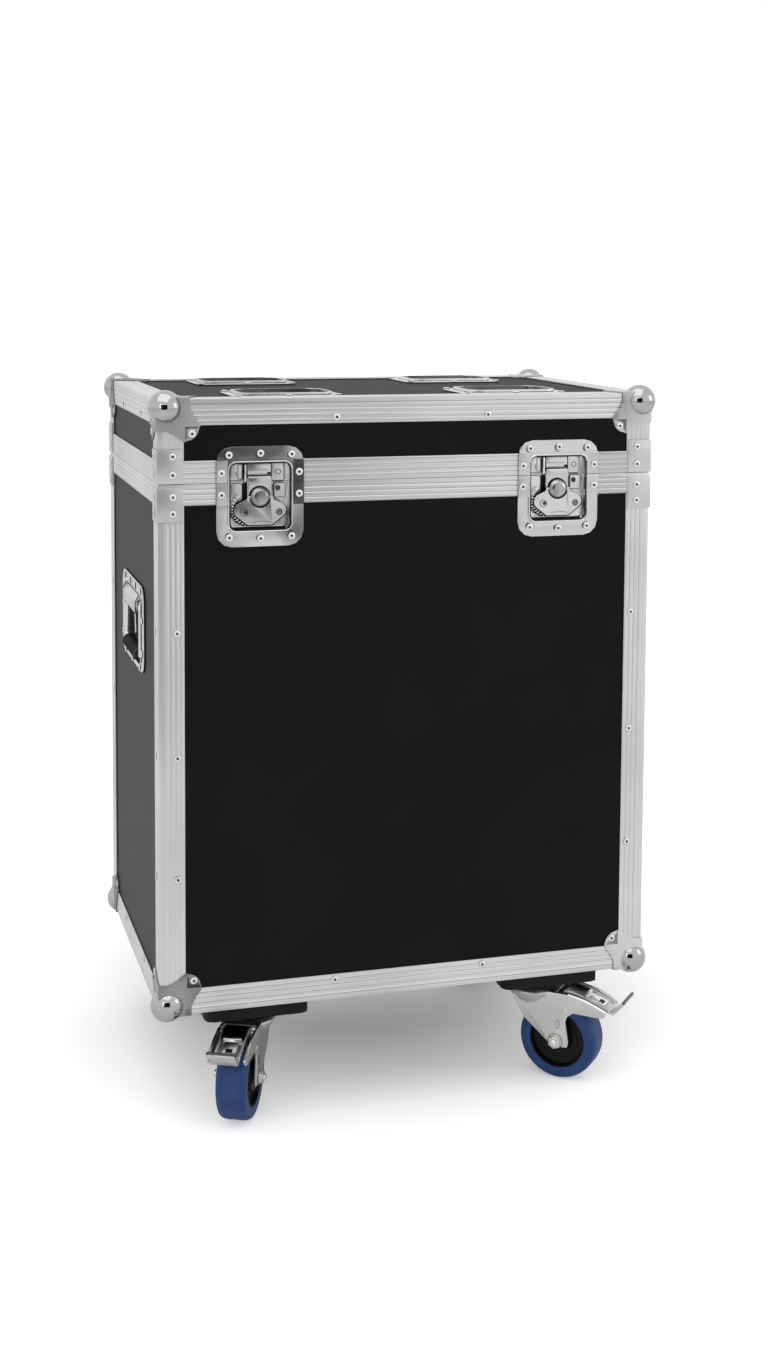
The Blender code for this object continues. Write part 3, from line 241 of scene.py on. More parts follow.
def plated_steel(name, dark, light, roughness, size=60, painted_sweep=0.8, low=0.25, high=0.75):
    """Zinc plate on pressed sheet: clouds of darker metal as broad as size in mm, and a crystal bloom that
    dulls it.
    A painted reflection makes it lighter along X, darker on the case's left, by the painted sweep, as a share
    of the way from dark to light per metre."""
    made, tree, shader = material(name, light, roughness, 1.0)
    place = add(tree, "ShaderNodeTexCoord")
    clouds = {"Scale": 1000 / size, "Detail": 2, "Roughness": 0.4}
    cloud = add(tree, "ShaderNodeTexNoise", clouds, Vector=(place, "Object"))
    at = add(tree, "ShaderNodeSeparateXYZ", _0=(place, "Object"))
    # the painted reflection: lighter along X by the painted sweep, on top of the clouds
    tone = add(tree, MATH, {"operation": "MULTIPLY_ADD"}, _0=at, _1=painted_sweep, _2=cloud)
    colour_between(shader, tone, low, high, dark, light)
    # crystals of about 1.5 mm
    crystals = {"Scale": 640, "Detail": 4, "Roughness": 0.7}
    bloom = add(tree, "ShaderNodeTexNoise", crystals, Vector=(place, "Object"))
    rub = add(tree, "ShaderNodeMapRange", {1: 0.3, 2: 0.7, 3: roughness * 0.8, 4: roughness * 1.25}, _0=bloom)
    drive(shader, "Roughness", rub)
    relief = add(tree, "ShaderNodeBump", {"Strength": 0.08, "Distance": 0.1 * MM}, Height=bloom)
    drive(shader, "Normal", relief)
    return made


def chrome(name, colour, roughness):
    """Bright plate with faint wipe marks of about 8 mm, so its roughness comes and goes."""
    made, tree, shader = material(name, colour, roughness, 1.0)
    place = add(tree, "ShaderNodeTexCoord")
    smear = add(tree, "ShaderNodeTexNoise", {"Scale": 120, "Detail": 4}, Vector=(place, "Object"))
    rub = add(tree, "ShaderNodeMapRange", {1: 0.35, 2: 0.7, 3: roughness, 4: roughness * 2}, _0=smear)
    drive(shader, "Roughness", rub)
    return made


def moulded(name, dark, light, roughness, specular=0.35):
    """Moulded rubber, nylon or paint: a dull skin with a very fine grain and some dust."""
    made, tree, shader = material(name, light, roughness, Specular_IOR_Level=specular)
    place = add(tree, "ShaderNodeTexCoord")
    # dust in patches of about 22 mm, on a grain of 0.5 mm
    dust = add(tree, "ShaderNodeTexNoise", {"Scale": 45, "Detail": 5}, Vector=(place, "Object"))
    colour_between(shader, dust, 0.35, 0.7, dark, light)
    grain = add(tree, "ShaderNodeTexNoise", {"Scale": 2200, "Detail": 2}, Vector=(place, "Object"))
    relief = add(tree, "ShaderNodeBump", {"Strength": 0.15, "Distance": 0.1 * MM}, Height=grain)
    drive(shader, "Normal", relief)
    return made


def open_foam():
    """Charcoal polyurethane foam: open cells of about 1.5 mm, drawn at 2 mm so that they show."""
    made, tree, shader = material("charcoal_foam", "#232427", 0.95, Specular_IOR_Level=0.1)
    place = add(tree, "ShaderNodeTexCoord")
    cells = add(tree, "ShaderNodeTexVoronoi", {"Scale": 480}, Vector=(place, "Object"))
    colour_between(shader, cells, 0.1, 0.7, "#141416", "#2E2F33")
    relief = add(tree, "ShaderNodeBump", {"Strength": 0.8, "Distance": 1 * MM}, Height=cells)
    drive(shader, "Normal", relief)
    return made


# the case: near black walls between pale ribbed metal, with plain plates across the split
LAMINATE = laminate()
ALUMINIUM = extrusion_metal()
BRACE_ZINC = plated_steel("brace_plate_zinc", "#BEBEBC", "#D4D4D2", 0.4, 60, 0.5)
# latches: flanges in clouds of painted reflection, dark and light by turns and darker on the left, duller
# steps, a bright pan and wing, and a grey cam
LATCH_STEEL = plated_steel("zinc_plated_pressing", "#6A6A68", "#CFCFCD", 0.26, 60, 0.9, 0.22, 0.5)
FLANK_STEEL = plated_steel("zinc_plated_step", "#BEBEBC", "#D4D4D2", 0.3, 60, 0.5)
PAN_STEEL = plated_steel("zinc_plated_pan", "#B4B4B2", "#E6E6E4", 0.3, 110)
WING_STEEL = plated_steel("zinc_plated_wing", "#BABAB8", "#DCDCDA", 0.28, 110)
CAM_STEEL = plated_steel("turned_cam_head", "#7E7E7C", "#BCBCBA", 0.2, 12, 0.3)
# handles: an even, bright dish round a grey recess in painted shade
HANDLE_STEEL = plated_steel("zinc_plated_handle_dish", "#B4B4B2", "#E0E0DE", 0.24, 40, 0.0)
RECESS_ZINC = plated_steel("recess_zinc_painted_shade", "#5E5E5C", "#7A7A78", 0.5, 40)
# zinc in painted shade for hollows, gaps and dark lines, and zinc in painted highlight along rolled edges and
# small bright parts
SHADED_ZINC = plated_steel("zinc_painted_shade", "#484848", "#6A6A6A", 0.22, 30)
BRIGHT_ZINC = plated_steel("zinc_painted_highlight", "#DADADA", "#F0F0F0", 0.2)
# corner plates with dark clouds and a painted reflection that is darker on the left, and castor forks of an
# even, pale satin
CORNER_STEEL = plated_steel("corner_pressing", "#868684", "#D2D2D0", 0.3, 90, 0.9)
FORK_STEEL = plated_steel("bright_zinc_fork", "#BCBCB9", "#DCDDDA", 0.34, 90, 0.4)
# chrome: mirror balls, bright bars, and rivet heads that only gleam
BALL_CHROME = chrome("chrome_plate", "#B2B2B2", 0.06)
BAR_CHROME = chrome("chrome_bar", "#DCDCDC", 0.12)
RIVET_HEAD = chrome("rivet_head", "#E8E8E8", 0.34)
# dull skins: dark mandrel ends, blue tyres, black hubs, grips and painted boards; the mandrel's and the hub's
# dark also serve as painted shade in holes, gaps, joints and lines
MANDREL_AND_SHADE = moulded("rivet_mandrel_and_painted_shade", "#2A2927", "#55534F", 0.5)
TYRE_BLUE = moulded("blue_elastic_rubber", "#1B386C", "#24457D", 0.5)
HUB_BLACK_AND_SHADE = moulded("black_nylon_and_painted_shade", "#050505", "#0C0C0C", 0.4, 0.2)
GRIP_BLACK = moulded("black_grip_rubber", "#101010", "#1D1D1D", 0.5)
BOARD_BLACK = moulded("black_painted_board", "#0B0B0B", "#151515", 0.6, 0.2)
FOAM = open_foam()


# Modelling helpers

def take(obj):
    """Select the object alone and make it active."""
    bpy.ops.object.select_all(action="DESELECT")
    obj.select_set(True)
    bpy.context.view_layer.objects.active = obj


def edit(obj):
    take(obj)
    bpy.ops.object.mode_set(mode="EDIT")


def done():
    bpy.ops.object.mode_set(mode="OBJECT")


def choose(kind, test):
    """In edit mode, select only the faces, edges or verts that pass the test."""
    modes = {"faces": "FACE", "edges": "EDGE", "verts": "VERT"}
    bpy.ops.mesh.select_mode(type=modes[kind])
    bpy.ops.mesh.select_all(action="DESELECT")
    mesh = bpy.context.object.data
    bm = bmesh.from_edit_mesh(mesh)
    for element in getattr(bm, kind):
        if test(element):
            element.select_set(True)
    bm.select_flush_mode()
    bmesh.update_edit_mesh(mesh)


def applied(obj, kind, **settings):
    """Add a modifier to the object and apply it."""
    take(obj)
    modifier = obj.modifiers.new(kind.lower(), kind)
    for key, value in settings.items():
        setattr(modifier, key, value)
    bpy.ops.object.modifier_apply(modifier=modifier.name)
    return obj


def smooth(obj, angle=35):
    take(obj)
    bpy.ops.object.shade_smooth_by_angle(angle=math.radians(angle))
    return obj


def joined(name, pieces):
    """The pieces as one object."""
    take(pieces[0])
    for piece in pieces[1:]:
        piece.select_set(True)
    if len(pieces) > 1:
        bpy.ops.object.join()
    obj = bpy.context.object
    obj.name = name
    return obj


def placed(source, matrix, name=None):
    """A copy of the object with its own mesh moved by the matrix, faces still out where that mirrors it."""
    obj = source.copy()
    obj.data = source.data.copy()
    bpy.context.scene.collection.objects.link(obj)
    obj.data.transform(matrix)
    if matrix.determinant() < 0:
        obj.data.flip_normals()
    if name:
        obj.name = name
    return obj


def settle(obj):
    """Put the object's own place into its mesh."""
    take(obj)
    bpy.ops.object.transform_apply(location=True, rotation=True, scale=True)
    return obj


def discard(*objs):
    for obj in objs:
        bpy.data.objects.remove(obj, do_unlink=True)


def coat(obj, *materials):
    obj.data.materials.clear()
    for one in materials:
        obj.data.materials.append(one)
    return obj


def coat_by(obj, materials, choice):
    """Each face in the material that choice gives the number of."""
    coat(obj, *materials)
    for face in obj.data.polygons:
        face.material_index = choice(face.center, face.normal)
    return obj


def fit(obj, body, slot, *nodes):
    """The piece rides on its body and stands for the CAD nodes; its slot is not used."""
    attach(obj, body)
    if nodes:
        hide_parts(*nodes)
    return obj


def broken_edges(node, width, angle=30, segments=2, place=None):
    """A merged copy of a CAD node with its sharp edges rounded, in the frame that place gives if any."""
    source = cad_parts[node]
    obj = source.copy()
    obj.data = source.data.copy()
    for key in list(obj.keys()):
        del obj[key]
    obj.parent = None
    obj.name = f"{node}_finished"
    bpy.context.scene.collection.objects.link(obj)
    edit(obj)
    bpy.ops.mesh.select_all(action="SELECT")
    bpy.ops.mesh.remove_doubles(threshold=0.02 * MM)
    bpy.ops.mesh.dissolve_limited(angle_limit=math.radians(0.5))
    done()
    if place:
        obj.data.transform(place.inverted())
    applied(
        obj, "BEVEL", width=width, segments=segments, limit_method="ANGLE",
        angle_limit=math.radians(angle), use_clamp_overlap=False, miter_outer="MITER_ARC",
    )
    return smooth(obj)


def block(low, high):
    """A block between opposite corners in metres."""
    bpy.ops.object.select_all(action="DESELECT")
    bpy.ops.mesh.primitive_cube_add(size=1, location=(low + high) / 2)
    obj = bpy.context.object
    obj.scale = high - low
    return settle(obj)


def slab(low, high, corner, edge, finish):
    """A plate between opposite corners in mm, its upright corners rounded and its upper rim broken."""
    low, high = Vector(low) * MM, Vector(high) * MM
    obj = block(low, high)
    edit(obj)
    if corner:
        choose("edges", lambda e: abs(e.verts[0].co.z - e.verts[1].co.z) > (high.z - low.z) * 0.9)
        bpy.ops.mesh.bevel(offset=corner * MM, segments=5, affect="EDGES")
    if edge:
        choose("edges", lambda e: min(v.co.z for v in e.verts) > high.z - 0.001 * MM)
        bpy.ops.mesh.bevel(offset=edge * MM, segments=3, affect="EDGES")
    done()
    return coat(smooth(obj, 40), finish)


def pad(low, high, corner, edge, finish):
    """A plate in mm that stands in a low, dark sheet all round, a painted shadow round its foot."""
    gap = 0.7
    shade_outline = slab(
        (low[0] - gap, low[1] - gap, low[2] - 0.1),
        (high[0] + gap, high[1] + gap, low[2] + 0.35 * (high[2] - low[2])),
        corner + gap, 0, HUB_BLACK_AND_SHADE,
    )
    return joined("pad", [slab(low, high, corner, edge, finish), shade_outline])


def turned(radius, length, steps, place=(0, 0, 0), vertices=32, both=False):
    """A round piece in mm about its place, its top or both of its ends shaped by steps of (inwards, out)."""
    bpy.ops.object.select_all(action="DESELECT")
    bpy.ops.mesh.primitive_cylinder_add(
        vertices=vertices, radius=radius * MM, depth=length * MM, location=[c * MM for c in place],
        end_fill_type="NGON",
    )
    obj = settle(bpy.context.object)
    edit(obj)
    choose("faces", lambda f: (abs(f.normal.z) if both else f.normal.z) > 0.9)
    for inward, out in steps:
        bpy.ops.mesh.inset(thickness=inward * MM, depth=out * MM)
    done()
    return obj


def boss(x, y, z, radius, height, finish, steps=(), vertices=32):
    """A round boss in mm, standing at x, y and z, its top shaped by steps of (inwards, up)."""
    return coat(smooth(turned(radius, height, steps, (x, y, z + height / 2), vertices), 40), finish)


def hoop(x, y, z, radius, thickness, finish):
    """A ring of round wire in mm that lies flat."""
    bpy.ops.object.select_all(action="DESELECT")
    bpy.ops.mesh.primitive_torus_add(
        major_segments=36, minor_segments=8, major_radius=radius * MM, minor_radius=thickness * MM,
        location=(x * MM, y * MM, z * MM),
    )
    return coat(smooth(settle(bpy.context.object), 60), finish)


def thickened(curve, thickness, resolution, finish):
    """The curve as a round wire with its own mesh."""
    curve.data.bevel_depth = thickness * MM
    curve.data.bevel_resolution = resolution
    bpy.ops.object.convert(target="MESH")
    return coat(smooth(bpy.context.object, 60), finish)


def bead(low, high, level, corner, thickness, finish, resolution=2):
    """A round bead in mm along the outline of a rounded rectangle at a level."""
    bpy.ops.object.select_all(action="DESELECT")
    middle = [(a + b) / 2 * MM for a, b in zip(low, high)]
    bpy.ops.mesh.primitive_plane_add(size=1, location=middle + [level * MM])
    obj = bpy.context.object
    obj.scale = ((high[0] - low[0]) * MM, (high[1] - low[1]) * MM, 1)
    settle(obj)
    edit(obj)
    bpy.ops.mesh.select_all(action="SELECT")
    bpy.ops.mesh.bevel(offset=corner * MM, segments=8, affect="VERTICES")
    bpy.ops.mesh.select_all(action="SELECT")
    bpy.ops.mesh.delete(type="ONLY_FACE")
    done()
    bpy.ops.object.convert(target="CURVE")
    return thickened(bpy.context.object, thickness, resolution, finish)


def wire(points, thickness, finish, resolution=2):
    """A round wire in mm through the points."""
    bpy.ops.object.select_all(action="DESELECT")
    bpy.ops.curve.primitive_nurbs_path_add()
    obj = bpy.context.object
    obj.data.splines.clear()
    spline = obj.data.splines.new("POLY")
    spline.points.add(len(points) - 1)
    for point, place in zip(spline.points, points):
        point.co = (*(Vector(place) * MM), 1)
    obj.data.use_fill_caps = True
    return thickened(obj, thickness, resolution, finish)


def sliced(obj, point, normal, clear=True):
    """The mesh cut by a plane in mm. What lies on the normal's side goes, and the cut is closed."""
    edit(obj)
    bpy.ops.mesh.select_all(action="SELECT")
    bpy.ops.mesh.bisect(plane_co=Vector(point) * MM, plane_no=normal, clear_outer=clear, use_fill=clear)
    done()
    return obj


def resized(obj, scale, centre, test=lambda vert: True):
    """The mesh, or its points that pass the test, scaled about a centre in mm."""
    edit(obj)
    choose("verts", test)
    bpy.ops.transform.resize(value=scale, center_override=Vector(centre) * MM)
    done()
    return obj


def on_face(turn, across, height, out):
    """The frame of a piece on a wall: turn in degrees from the front, out to the wall's outer plane."""
    return Matrix.Rotation(math.radians(turn), 4, "Z") @ Matrix.Translation((across, -out, height)) @ UPRIGHT


# Camera, light and floor

CAMERA_PLACE = (-0.61832, -2.22557, 0.99784)
CAMERA_TURN = -0.2802
CAMERA_TILT = -0.0852
CAMERA_ROLL = 0.0057
# the centre of the painted shadow pool on the floor
PAINTED_SHADOW_CENTRE = (0.05, 0.2, 0)
# name, place, what it is aimed at, width and power
SOFTBOXES = (
    ("top softbox", (-0.4, -0.6, 2.6), (0, 0, 0.6), 2.2, 12),
    ("front softbox", (-1.6, -2.6, 1.5), (0, 0, 0.5), 1.4, 7),
    ("side softbox", (2.4, -1.2, 1.4), (0, 0, 0.5), 1.2, 5),
)


def photograph_view():
    """The photograph's camera, which looks slightly down with its picture shifted."""
    scene = bpy.context.scene
    camera = bpy.data.objects.new("camera", bpy.data.cameras.new("camera"))
    scene.collection.objects.link(camera)
    scene.camera = camera
    camera.data.lens = 48.044
    camera.data.sensor_width = 36
    camera.data.shift_y = -0.185
    camera.matrix_world = (
        Matrix.Translation(CAMERA_PLACE)
        @ Matrix.Rotation(CAMERA_TURN, 4, "Z")
        @ Matrix.Rotation(math.pi / 2 + CAMERA_TILT, 4, "X")
        @ Matrix.Rotation(CAMERA_ROLL, 4, "Z")
    )
    scene.view_settings.view_transform = "Standard"
    return camera


def white_room():
    """Soft boxes, and a world that is pure white where it is seen or mirrored and lights a little less."""
    scene = bpy.context.scene
    world = bpy.data.worlds.new("studio")
    scene.world = world
    world.use_nodes = True
    tree = world.node_tree
    background = tree.nodes["Background"]
    background.inputs["Color"].default_value = (1, 1, 1, 1)
    ray = add(tree, "ShaderNodeLightPath")
    larger = {"operation": "MAXIMUM"}
    seen = add(tree, MATH, larger, _0=(ray, "Is Camera Ray"), _1=(ray, "Is Glossy Ray"))
    seen = add(tree, MATH, larger, _0=seen, _1=(ray, "Is Transmission Ray"))
    drive(background, "Strength", add(tree, "ShaderNodeMapRange", {3: 0.80, 4: 1.0}, _0=seen))
    for name, place, aim, size, power in SOFTBOXES:
        data = bpy.data.lights.new(name, "AREA")
        data.energy = power
        data.size = size
        lamp = bpy.data.objects.new(name, data)
        scene.collection.objects.link(lamp)
        lamp.location = place
        lamp.rotation_euler = (Vector(aim) - Vector(place)).to_track_quat("-Z", "Y").to_euler()


def paper_floor():
    """A pale sheet that holds the shadow under the rear of the case, deepened there by a painted shadow pool
    where it glows less, and turns pure white further out.
    """
    bpy.ops.object.select_all(action="DESELECT")
    bpy.ops.mesh.primitive_plane_add(size=40, location=(0, 0, 0))
    floor = bpy.context.object
    floor.name = "studio_floor"
    made, tree, shader = material("studio_paper", "#EEEEEE", 0.9, Specular_IOR_Level=0.0)
    ray = add(tree, "ShaderNodeLightPath")
    place = add(tree, "ShaderNodeTexCoord")
    distance = {"operation": "DISTANCE", 1: PAINTED_SHADOW_CENTRE}
    away = add(tree, "ShaderNodeVectorMath", distance, _0=(place, "Object"))
    # the floor glows less near the centre: a painted shadow pool round the case
    glow = add(tree, "ShaderNodeMapRange", {1: 0.18, 2: 0.64, 3: 0.12, 4: 0.6}, _0=(away, "Value"))
    mirrored = {"operation": "MULTIPLY_ADD", 1: 0.2}
    share = add(tree, MATH, mirrored, _0=(ray, "Is Glossy Ray"), _2=(ray, "Is Camera Ray"))
    shader.inputs["Emission Color"].default_value = (1, 1, 1, 1)
    drive(shader, "Emission Strength", add(tree, MATH, {"operation": "MULTIPLY"}, _0=share, _1=glow))
    return coat(floor, made)


def dark_card(camera):
    """A dark card behind the camera, which only the mirror-bright metal picks up."""
    bpy.ops.object.select_all(action="DESELECT")
    bpy.ops.mesh.primitive_plane_add(size=1, location=camera.location + Vector((-0.1, -0.4, 0.1)))
    card = bpy.context.object
    card.name = "dark_reflection_card"
    card.rotation_euler = camera.rotation_euler
    card.scale = (2.0, 1.5, 1)
    card.visible_camera = card.visible_diffuse = card.visible_shadow = card.visible_transmission = False
    return coat(card, material("black_card", "#101010", 1.0, Specular_IOR_Level=0.0)[0])


view = photograph_view()
white_room()
paper_floor()
dark_card(view)


# Panels and foam

for node in ("base_front_panel", "base_rear_panel", "base_left_panel", "base_right_panel", "lid_top_panel",
             "lid_wall_panels"):
    coat(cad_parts[node], LAMINATE)
coat(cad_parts["base_bottom_panel"], BOARD_BLACK)


def foam_floor():
    """The foam sheet with its upper edges softened, a little proud of the stiff stand-in that it covers."""
    low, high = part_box("base_foam_floor")
    obj = block(low, high)
    edit(obj)
    choose("edges", lambda e: min(v.co.z for v in e.verts) > high.z - 1 * MM)
    bpy.ops.mesh.bevel(offset=3 * MM, segments=4, affect="EDGES")
    bpy.ops.mesh.select_all(action="SELECT")
    bpy.ops.mesh.subdivide(number_cuts=2)
    done()
    obj.name = "foam_floor"
    return coat(smooth(obj, 60), FOAM)


foam = fit(foam_floor(), "base", "foam", "base_foam_floor")


# Angle and closing profiles

def in_brace(centre, normal):
    """1 for the corner braces across the split, which stand proud of the angle."""
    return int(abs(centre.x) > HALF_WIDTH + 0.2 * MM or abs(centre.y) > HALF_DEPTH + 0.2 * MM)


for node, body in (
    ("base_edge_frame", "base"), ("base_rim_profile", "base"),
    ("lid_edge_frame", "lid"), ("lid_rim_profile", "lid"),
):
    profile = coat_by(broken_edges(node, 0.25 * MM), (ALUMINIUM, BRACE_ZINC), in_brace)
    edit(profile)
    bpy.ops.mesh.select_all(action="SELECT")
    bpy.ops.mesh.quads_convert_to_tris(quad_method="BEAUTY", ngon_method="BEAUTY")
    done()
    fit(profile, body, "aluminium_extrusion", node)


# Rivets: their heights above the case's underside, and how far in from an edge they stand

POST_HEIGHTS = (0.1605, 0.3025, 0.447)
POST_IN = 0.0215
BASE_BRACE_HEIGHTS = (0.603, 0.584)
LID_BRACE_HEIGHTS = (0.649, 0.628)
BRACE_IN = 0.017
BRACE_THICKNESS = 1.5 * MM
BOTTOM_IN = 0.0235
TOP_IN = 0.023
CORNER_IN = 0.0395
RIVET_RADIUS = 4.4


def on_rivet(centre, normal):
    """1 down the mandrel's hole, 2 in the shadow line round the head, and 0 on the head."""
    out = centre.xy.length / MM
    return 1 if out < 1.8 else 2 * int(out > RIVET_RADIUS - 0.35)


def rivet():
    """A pop rivet on the plane z = 0: a low dome with the end of its mandrel down a hole."""
    dome = ((0.2, 0.05), (0.7, 0.5), (1.15, 0.35), (0.65, 0.08), (0.15, -0.25), (0.1, -0.5), (0.45, 0.25))
    obj = turned(RIVET_RADIUS, 0.5, dome, (0, 0, 0.15), 14)
    return smooth(coat_by(obj, (RIVET_HEAD, MANDREL_AND_SHADE, SHADED_ZINC), on_rivet), 40)


RIVET = rivet()


def rivets_at(places, level):
    """A rivet at each x and y in mm, on the plane at the level."""
    return [placed(RIVET, Matrix.Translation((x * MM, y * MM, level * MM))) for x, y in places]


base_places, lid_places = [], []
for turn, half, out in WALLS:
    along = 0.092 if half == HALF_WIDTH else 0.075
    for side in (-1, 1):
        for height in POST_HEIGHTS:
            base_places.append(on_face(turn, side * (half - POST_IN), CASE_BOTTOM + height, out))
        base_places.append(on_face(turn, side * along, CASE_BOTTOM + BOTTOM_IN, out))
        lid_places.append(on_face(turn, side * along, CASE_TOP - TOP_IN, out))
        for heights, places in ((LID_BRACE_HEIGHTS, lid_places), (BASE_BRACE_HEIGHTS, base_places)):
            for height in heights:
                across = side * (half - BRACE_IN)
                places.append(on_face(turn, across, CASE_BOTTOM + height, out + BRACE_THICKNESS))
        for level, up, places in ((CASE_BOTTOM, 1, base_places), (CASE_TOP, -1, lid_places)):
            places.append(on_face(turn, side * (half - CORNER_IN), level + up * CORNER_IN, out))
for body, places in (("base", base_places), ("lid", lid_places)):
    fit(joined(f"{body}_rivets", [placed(RIVET, place) for place in places]), body, "zinc_steel")


# Ball corners, in millimetres from the case's corner

BALL_CENTRE = Vector((10, 10, 10))
BALL_RADIUS = 19.5
EAR_CUT = 30.2
EAR_TIP = 44


def ball():
    """A chrome ball over the corner, cut away inside the case, with a rolled collar on each plate."""
    bpy.ops.object.select_all(action="DESELECT")
    centre = (BALL_CENTRE.x * MM,) * 3
    bpy.ops.mesh.primitive_uv_sphere_add(segments=56, ring_count=28, radius=BALL_RADIUS * MM, location=centre)
    obj = settle(bpy.context.object)
    # the cutter's corner lies 0.3 mm outside the case's
    bpy.ops.mesh.primitive_cube_add(size=90 * MM, location=(44.7 * MM,) * 3)
    cutter = settle(bpy.context.object)
    applied(obj, "BOOLEAN", operation="DIFFERENCE", object=cutter, solver="EXACT")
    discard(cutter)
    coat(obj, BALL_CHROME)
    collars = []
    for flat, spin in ((2, (0, 0, 0)), (1, (math.pi / 2, 0, 0)), (0, (0, math.pi / 2, 0))):
        place = list(centre)
        place[flat] = -1.4 * MM
        bpy.ops.mesh.primitive_torus_add(
            major_segments=56, minor_segments=10, major_radius=16.4 * MM, minor_radius=0.9 * MM,
            location=place, rotation=spin,
        )
        collar = settle(bpy.context.object)
        for axis in range(3):
            if axis != flat:
                outwards = -Vector([int(i == axis) for i in range(3)])
                sliced(collar, outwards * 1.2, outwards)
        collars.append(coat(collar, CORNER_STEEL))
    return smooth(joined("ball", [obj] + collars), 40)


def ball_corner():
    """The corner piece at the origin: the CAD's plates with their ears rounded off, under the ball."""
    corner = Matrix.Translation((-HALF_WIDTH, -HALF_DEPTH, CASE_BOTTOM))
    plate = broken_edges("base_front_left_ball_corner", 0.4 * MM, angle=40, place=corner)

    def on_ball(vert):
        """The plates' own facets of the ball, which go under the chrome."""
        return 18.9 * MM < (vert.co - BALL_CENTRE * MM).length < 19.6 * MM and min(vert.co) < -1.6 * MM

    resized(plate, (0.93, 0.93, 0.93), BALL_CENTRE, on_ball)
    edit(plate)
    for axis in range(3):
        choose("verts", lambda v: v.co[axis] > EAR_TIP * MM)
        bpy.ops.transform.translate(value=[-4.5 * MM * (i == axis) for i in range(3)])
    done()
    pieces = [coat(plate, CORNER_STEEL), BALL]
    for axis in range(3):
        # the round of the ear on the laminate, for the plate across this axis
        ear = boss(32.5, 32.5, -1.25, 15, 1.1, CORNER_STEEL, ((0.35, 0.2),), 64)
        sliced(ear, (EAR_CUT, 0, 0), (-1, 0, 0))
        sliced(ear, (0, EAR_CUT, 0), (0, -1, 0))
        columns = [Vector([int(i == (axis + step) % 3) for i in range(3)]) for step in (1, 2, 0)]
        turn = Matrix([columns[0], columns[1], -columns[2]]).transposed().to_4x4()
        pieces.append(placed(ear, turn))
        discard(ear)
    return joined("ball_corner", pieces)


BALL = ball()
CORNER = ball_corner()
for prefix, level, up in (("base", CASE_BOTTOM, 1), ("lid", CASE_TOP, -1)):
    for name, (x, y) in SIGNS.items():
        node = f"{prefix}_{name}_ball_corner"
        place = Matrix.Translation((x * HALF_WIDTH, y * HALF_DEPTH, level)) @ Matrix.Diagonal((-x, -y, up, 1))
        fit(placed(CORNER, place, f"{node}_finished"), prefix, "zinc_steel", node)
discard(CORNER)


# Butterfly latches, in millimetres from the rotor: x right, y up and z out of the wall

LATCH = on_face(0, -LATCH_X, LATCH_Z, HALF_DEPTH)
LATCH_RIVETS = {
    "base": ((-45.3, 3.5), (45.3, 3.5), (-36.5, -45.5), (36.5, -45.5), (0, -47.5)),
    "lid": ((-36.5, 49), (36.5, 49), (0, 50.5), (-45.3, 28.5), (45.3, 28.5)),
}
FLANGE_TOP = 1.5
# the heights that each half of the dish lies between, apart by the split's gap
BASE_REACH = (-60, 16.8)
LID_REACH = (17.2, 60)
# where the flange steps over the closing profiles, from the pan's sides outwards
STEP_X = 38.4
STEP_LOW = -7
STEP_HIGH = 43
# the levels of the pan's floor, the painted shadow under the spring, the pads' faces and the spring
FLOOR = -9.4
SPRING_SHADOW_LEVEL = -9
PAD_FACE = -6.1
SPRING = -5.6
# the spring's coils, how many points draw each, and their radius
COILS = 13
PER_COIL = 12
COIL_RADIUS = 2.9


def over_rim(centre, normal):
    """Which steel a face of the dish takes: 1 in the pan, 2 where the flange steps over the rim on the right,
    3 on the left, and 0 on the rest of the flange."""
    x, y, z = centre / MM
    if z < -0.5:
        return 1
    if STEP_LOW < y < STEP_HIGH and abs(x) > STEP_X and normal.z > 0.9:
        return 2 if x > 0 else 3
    return 0


def latch_half(node, body, reach):
    """The half of the dish between two heights: pressing, rolled lip round the pan in painted highlight, a
    painted shade line inside the lip, and rivets.
    """
    plate = broken_edges(node, 0.4 * MM, place=LATCH)
    for x in (-STEP_X, STEP_X):
        sliced(plate, (x, 0, 0), (1, 0, 0), clear=False)
    sliced(plate, (0, STEP_HIGH, 0), (0, 1, 0), clear=False)
    coat_by(plate, (LATCH_STEEL, PAN_STEEL, FLANK_STEEL, BRACE_ZINC), over_rim)
    lip = bead((-37.1, -39.1), (37.1, 41.1), FLANGE_TOP, 9, 0.8, BRIGHT_ZINC)
    shade_outline = bead((-35.4, -37.4), (35.4, 39.4), 0.2, 8, 0.8, HUB_BLACK_AND_SHADE)
    low, high = reach
    for line in (lip, shade_outline):
        sliced(line, (0, high, 0), (0, 1, 0))
        sliced(line, (0, low, 0), (0, -1, 0))
        smooth(line, 60)
    return [plate, lip, shade_outline] + rivets_at(LATCH_RIVETS[body], FLANGE_TOP)


def spring_path():
    """The torsion spring's wire, whose coils run along a smooth bent line down the left of the pan."""
    bends = ((-24, 1), (-30.5, -7), (-31, -18), (-24.5, -26.5), (-14, -31))
    stops = [Vector((x, y, SPRING)) for x, y in bends]
    last = len(stops) - 1
    points = []
    for step in range(COILS * PER_COIL + 1):
        at = step / (COILS * PER_COIL) * last
        i = min(int(at), last - 1)
        t = at - i
        a, b, c, d = (stops[min(max(i + k, 0), last)] for k in (-1, 0, 1, 2))
        slope, curve, twist = c - a, 2 * a - 5 * b + 4 * c - d, 3 * b - a - 3 * c + d
        centre = 0.5 * (2 * b + slope * t + curve * t**2 + twist * t**3)
        along = (slope * 0.5 + curve * t + 1.5 * twist * t**2).normalized()
        side = along.cross(Vector((0, 0, 1)))
        turn = step / PER_COIL * 2 * math.pi
        points.append(centre + COIL_RADIUS * (side * math.cos(turn) + Vector((0, 0, 1)) * math.sin(turn)))
    return points


